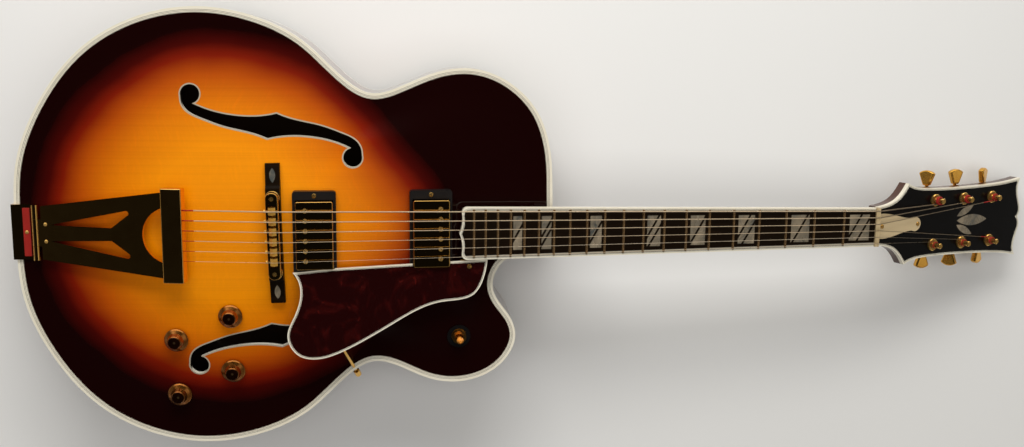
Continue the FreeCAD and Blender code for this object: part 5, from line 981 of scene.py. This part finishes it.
class GUITAR_OT_string_up(bpy.types.Operator):
    """String the guitar from the crossbar over the bridge and the nut to the posts"""
    bl_idname = "guitar.string_up"
    bl_label = "String Up"

    def execute(self, context):
        strings = context.scene.guitar_strings
        metal = context.scene.guitar_metal
        finishes = {"plain": steel("plain_steel", metal.steel, 0.0, 0.55),
                    "wound": steel("wound_steel", metal.wrap, WRAP_PITCH, 0.55),
                    # The windings at the posts get darker copies of the string metal: painted shade.
                    "heads_plain": steel("painted_shade_steel", tinted(metal.steel, 0.45), 0.0, 0.93),
                    "heads_wound": steel("painted_shade_wrap", tinted(metal.wrap, 0.45), WRAP_PITCH, 0.93),
                    "silk": red_silk()}
        works = {name: bmesh.new() for name in ("tails_plain", "tails_wound", "runs_plain", "runs_wound",
                                                "heads_plain", "heads_wound", "silk_tail", "silk_head")}
        for number, gauge in enumerate(strings.gauges, 1):
            kind = "wound" if number >= strings.first_wound else "plain"
            start, saddle, nut, winding = string_route(number, gauge)
            half = gauge / 2
            for part, points in (("tails_", spread(start, saddle, 14)), ("runs_", spread(saddle, nut, 40)),
                                 ("heads_", spread(nut, winding[0], 12) + winding[1:])):
                tube(works[part + kind], points, [half] * len(points))
            thin, thick = half * SILK_TAPER, half + strings.silk_swell
            wrap = spread(start, start + (saddle - start).normalized() * strings.silk_tail, 5)
            tube(works["silk_tail"], wrap, [thick] * 5 + [thin])
            reach = strings.silk_head if number in FAR_STRINGS else SHORT_SILK
            wrap = spread(winding[0] + (nut - winding[0]).normalized() * reach, winding[0], 4) + winding[1:-1]
            tube(works["silk_head"], wrap, [thin] + [thick] * (len(wrap) - 1))
        for name, work in works.items():
            kind = name if name.startswith("heads") else "silk" if "silk" in name else name.split("_")[1]
            made = piece("string_" + name, work, finishes[kind], None)
            if name.startswith("tails") or name == "silk_tail":
                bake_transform(made)
            elif name.startswith("runs"):
                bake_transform(made)
            else:
                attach(made, "guitar")
            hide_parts("strings")
        return {"FINISHED"}


# Screw slots


class GUITAR_OT_slot_screws(bpy.types.Operator):
    """Mark the slots of the pole screws and the mounting screws with dark strips of painted shade"""
    bl_idname = "guitar.slot_screws"
    bl_label = "Slot Screws"

    def execute(self, context):
        metal = context.scene.guitar_metal
        shade = line_lacquer("slot_shade")
        neck_up = NECK_FRAME.to_3x3() @ UP
        for node, up in (("bridge_pickup", neck_up), ("neck_pickup", neck_up), ("screws", UP)):
            work = welded(node)
            groups = islands(work)
            if node != "screws":
                cover = largest(groups)
                groups = [group for group in groups if group is not cover]
            slots = bmesh.new()
            for index, group in enumerate(groups):
                self.cut(slots, group, up, SLOT_TURN + SLOT_STEP * index, metal.slot_width)
            work.free()
            piece(node + "_slots", slots, shade, "guitar")
        return {"FINISHED"}

    def cut(self, slots, group, up, turn, width):
        """Lay one dark strip of painted shade across the crown of a screw head, where its slot is."""
        crown = max(group, key=lambda face: face.normal.dot(up) * 1e-3 + face.calc_center_median().dot(up))
        normal = crown.normal.copy()
        faces = [face for face in group if face.normal.dot(normal) > CROWN_FLAT]
        points = [vert.co for face in faces for vert in face.verts]
        centre = sum(points, Vector()) / len(points)
        reach = max((point - centre).length for point in points)
        along = normal.orthogonal().normalized()
        across = normal.cross(along)
        way = along * math.cos(turn) + across * math.sin(turn)
        side = normal.cross(way)
        lift = normal * SLOT_LIFT
        rows = []
        for share, width_share in SLOT_ROWS:
            half = width / 2 * width_share
            rows.append([slots.verts.new(centre + way * reach * share + side * half * sign + lift)
                         for sign in (-1, 1)])
        for row, following in zip(rows, rows[1:]):
            slots.faces.new((row[0], following[0], following[1], row[1]))


# Hinge


def felt():
    """Red felt."""
    strings = bpy.context.scene.guitar_strings
    finish = Finish("felt", sheen_weight=0.15)
    fuzz = finish.grain(1900.0, 3.0)
    worn = finish.grain((160.0, 90.0, 160.0), 3.0)
    return finish.done(finish.mix(fuzz * 0.6 + worn * 0.4, strings.silk, tinted(strings.silk, 0.35)),
                       0.75 + fuzz * 0.2, fuzz, 0.5, 0.0003)


class GUITAR_OT_line_hinge(bpy.types.Operator):
    """Lay the felt strip on the hinge leaf and rivet the strip and the tail plate"""
    bl_idname = "guitar.line_hinge"
    bl_label = "Line Hinge"

    def execute(self, context):
        metal = context.scene.guitar_metal
        hinge = frame["nodes"]["tailpiece_hinge"].data.vertices
        leaf = max(vert.co.z for vert in hinge if vert.co.x < LEAF_END)
        strip = bmesh.new()
        bmesh.ops.create_cube(strip, size=1.0)
        bmesh.ops.scale(strip, vec=FELT_SIZE, verts=strip.verts)
        bmesh.ops.bevel(strip, geom=strip.edges[:], offset=FELT_ROUND, segments=2, affect="EDGES")
        bmesh.ops.translate(strip, verts=strip.verts, vec=(FELT_PLACE, 0.0, leaf + FELT_LIFT))
        piece("hinge_felt", strip, felt(), "guitar")
        rivets = bmesh.new()
        self.rivet(rivets, Vector((FELT_PLACE, 0.0, leaf + FELT_RIVET_LIFT)), UP)
        plate_up = TAIL_FRAME.to_3x3() @ UP
        plate = max((TAIL_FRAME.inverted() @ vert.co).z for vert in frame["nodes"]["tailpiece"].data.vertices
                    if PLATE_START < vert.co.x < PLATE_END)
        for across in (-RIVET_ASIDE, RIVET_ASIDE):
            self.rivet(rivets, TAIL_FRAME @ Vector((RIVET_PLACE, across, plate - PLATE_RIVET_SINK)), plate_up)
        piece("hinge_rivets", rivets, plated("rivet_gold", metal.gold, 0.16, 0.4, 0.70), "guitar")
        return {"FINISHED"}

    def rivet(self, work, foot, up):
        """A domed rivet head with a small lip."""
        tube(work, [foot + up * height * MM for radius, height in RIVET_PROFILE],
             [radius * MM for radius, height in RIVET_PROFILE], RIVET_SIDES)


# Stage


class GUITAR_OT_lay_stage(bpy.types.Operator):
    """Lay the pale floor, hang the lamps and set the camera"""
    bl_idname = "guitar.lay_stage"
    bl_label = "Lay Stage"

    def execute(self, context):
        stage = context.scene.guitar_stage
        self.floor(stage)
        self.lamp("key", stage.key_power, place=(0.38, 1.30, 0.98), target=(0.36, 0.0, 0.03),
                  size=(1.3, 0.55))
        self.lamp("overhead", stage.overhead_power, place=(0.50, 0.0, 2.60), target=(0.50, 0.0, 0.0),
                  size=(3.2, 2.2))
        self.room()
        self.camera(stage)
        context.scene.view_settings.view_transform = "Standard"
        return {"FINISHED"}

    def floor(self, stage):
        """Pale floor under the back plate."""
        work = bmesh.new()
        bmesh.ops.create_grid(work, x_segments=8, y_segments=8, size=stage.floor_reach)
        bmesh.ops.translate(work, verts=work.verts, vec=(0.5, 0.0, CAD_BOX[0].z))
        finish = Finish("studio_floor")
        cloud = finish.grain(2.0, 3.0)
        tooth = finish.grain(300.0)
        shade = finish.mix(cloud, stage.floor, tinted(stage.floor, 1.03))
        floor = placed("studio_floor", work, finish.done(shade, 0.82 + tooth * 0.12))

    def lamp(self, name, power, place, target, size):
        """A soft lamp aimed at a point."""
        light = bpy.data.lights.new(name, "AREA")
        light.shape = "RECTANGLE"
        light.size, light.size_y = size
        light.energy = power
        lamp = bpy.data.objects.new(name, light)
        lamp.visible_glossy = False
        lamp.location = place
        lamp.rotation_euler = (Vector(target) - Vector(place)).to_track_quat("-Z", "Y").to_euler()
        bpy.context.scene.collection.objects.link(lamp)

    def room(self):
        """Dim walls with a bright window and a door, under a dark ceiling."""
        world = bpy.data.worlds.new("studio_room")
        world.use_nodes = True
        walls = Backdrop(world)
        look = walls.node("ShaderNodeTexCoord", {}, {})
        ahead, facing, height = (walls.node("ShaderNodeSeparateXYZ", {}, {"Vector": look}, axis)
                                 for axis in "XYZ")
        shade = walls.ramp(height, ((0.0, (0.26, 0.25, 0.24)), (0.36, (0.12, 0.116, 0.11)),
                                    (0.66, (0.016, 0.015, 0.014)), (1.0, (0.004, 0.004, 0.004))))
        window = facing.step(0.50, 0.80) * height.step(0.05, 0.30) * (1.0 - height.step(0.48, 0.66))
        door = ahead.step(0.50, 0.64) * height.step(0.50, 0.60) * (1.0 - height.step(0.72, 0.80))
        shade = walls.mix(door, shade, (0.62, 0.59, 0.53))
        walls.feed("Color", walls.mix(window, shade, (2.4, 2.3, 2.1)))
        bpy.context.scene.world = world

    def camera(self, stage):
        """Camera over the guitar, at the photograph's angle."""
        right = Vector((0.9956253402, 0.0104009481, 0.0928547368))
        down = Vector((-0.0047158790, -0.9869245333, 0.1611140159))
        ahead = Vector((0.0933163563, -0.1608470887, -0.9825580246))
        data = bpy.data.cameras.new("camera")
        data.sensor_fit = "HORIZONTAL"
        data.sensor_width = 36.0
        data.lens = stage.lens
        data.clip_start, data.clip_end = 0.05, 50.0
        camera = bpy.data.objects.new("camera", data)
        place = Vector((0.402265, 0.190265, 1.167833))
        camera.matrix_world = Matrix.Translation(place) @ Matrix((right, -down, -ahead)).transposed().to_4x4()
        bpy.context.scene.collection.objects.link(camera)
        bpy.context.scene.camera = camera


class GUITAR_PT_bench(bpy.types.Panel):
    """Steps of dressing the guitar"""
    bl_idname = "GUITAR_PT_bench"
    bl_label = "Archtop Guitar"
    bl_space_type = "VIEW_3D"
    bl_region_type = "UI"
    bl_category = "Guitar"

    def draw(self, context):
        for step in STEPS:
            self.layout.operator(step.bl_idname)


STEPS = (GUITAR_OT_lay_stage, GUITAR_OT_finish_wood, GUITAR_OT_finish_trim, GUITAR_OT_inlay_lines,
         GUITAR_OT_finish_metal, GUITAR_OT_string_up, GUITAR_OT_slot_screws, GUITAR_OT_line_hinge)
SETTINGS = {"guitar_burst": BurstSettings, "guitar_trim": TrimSettings, "guitar_metal": MetalSettings,
            "guitar_strings": StringSettings, "guitar_stage": StageSettings}
CLASSES = (*SETTINGS.values(), *STEPS, GUITAR_PT_bench)


def register():
    """Register the settings, the steps and the panel."""
    for kind in CLASSES:
        bpy.utils.register_class(kind)
    for name, group in SETTINGS.items():
        setattr(bpy.types.Scene, name, PointerProperty(type=group))


def unregister():
    """Take back what register set up."""
    for name in SETTINGS:
        delattr(bpy.types.Scene, name)
    for kind in reversed(CLASSES):
        bpy.utils.unregister_class(kind)


def main():
    """Dress the guitar step by step."""
    register()
    bpy.ops.guitar.lay_stage()
    bpy.ops.guitar.finish_wood()
    bpy.ops.guitar.finish_trim()
    bpy.ops.guitar.inlay_lines()
    bpy.ops.guitar.finish_metal()
    bpy.ops.guitar.string_up()
    bpy.ops.guitar.slot_screws()
    bpy.ops.guitar.line_hinge()
    bpy.context.view_layer.update()


if __name__ == "__main__":
    main()
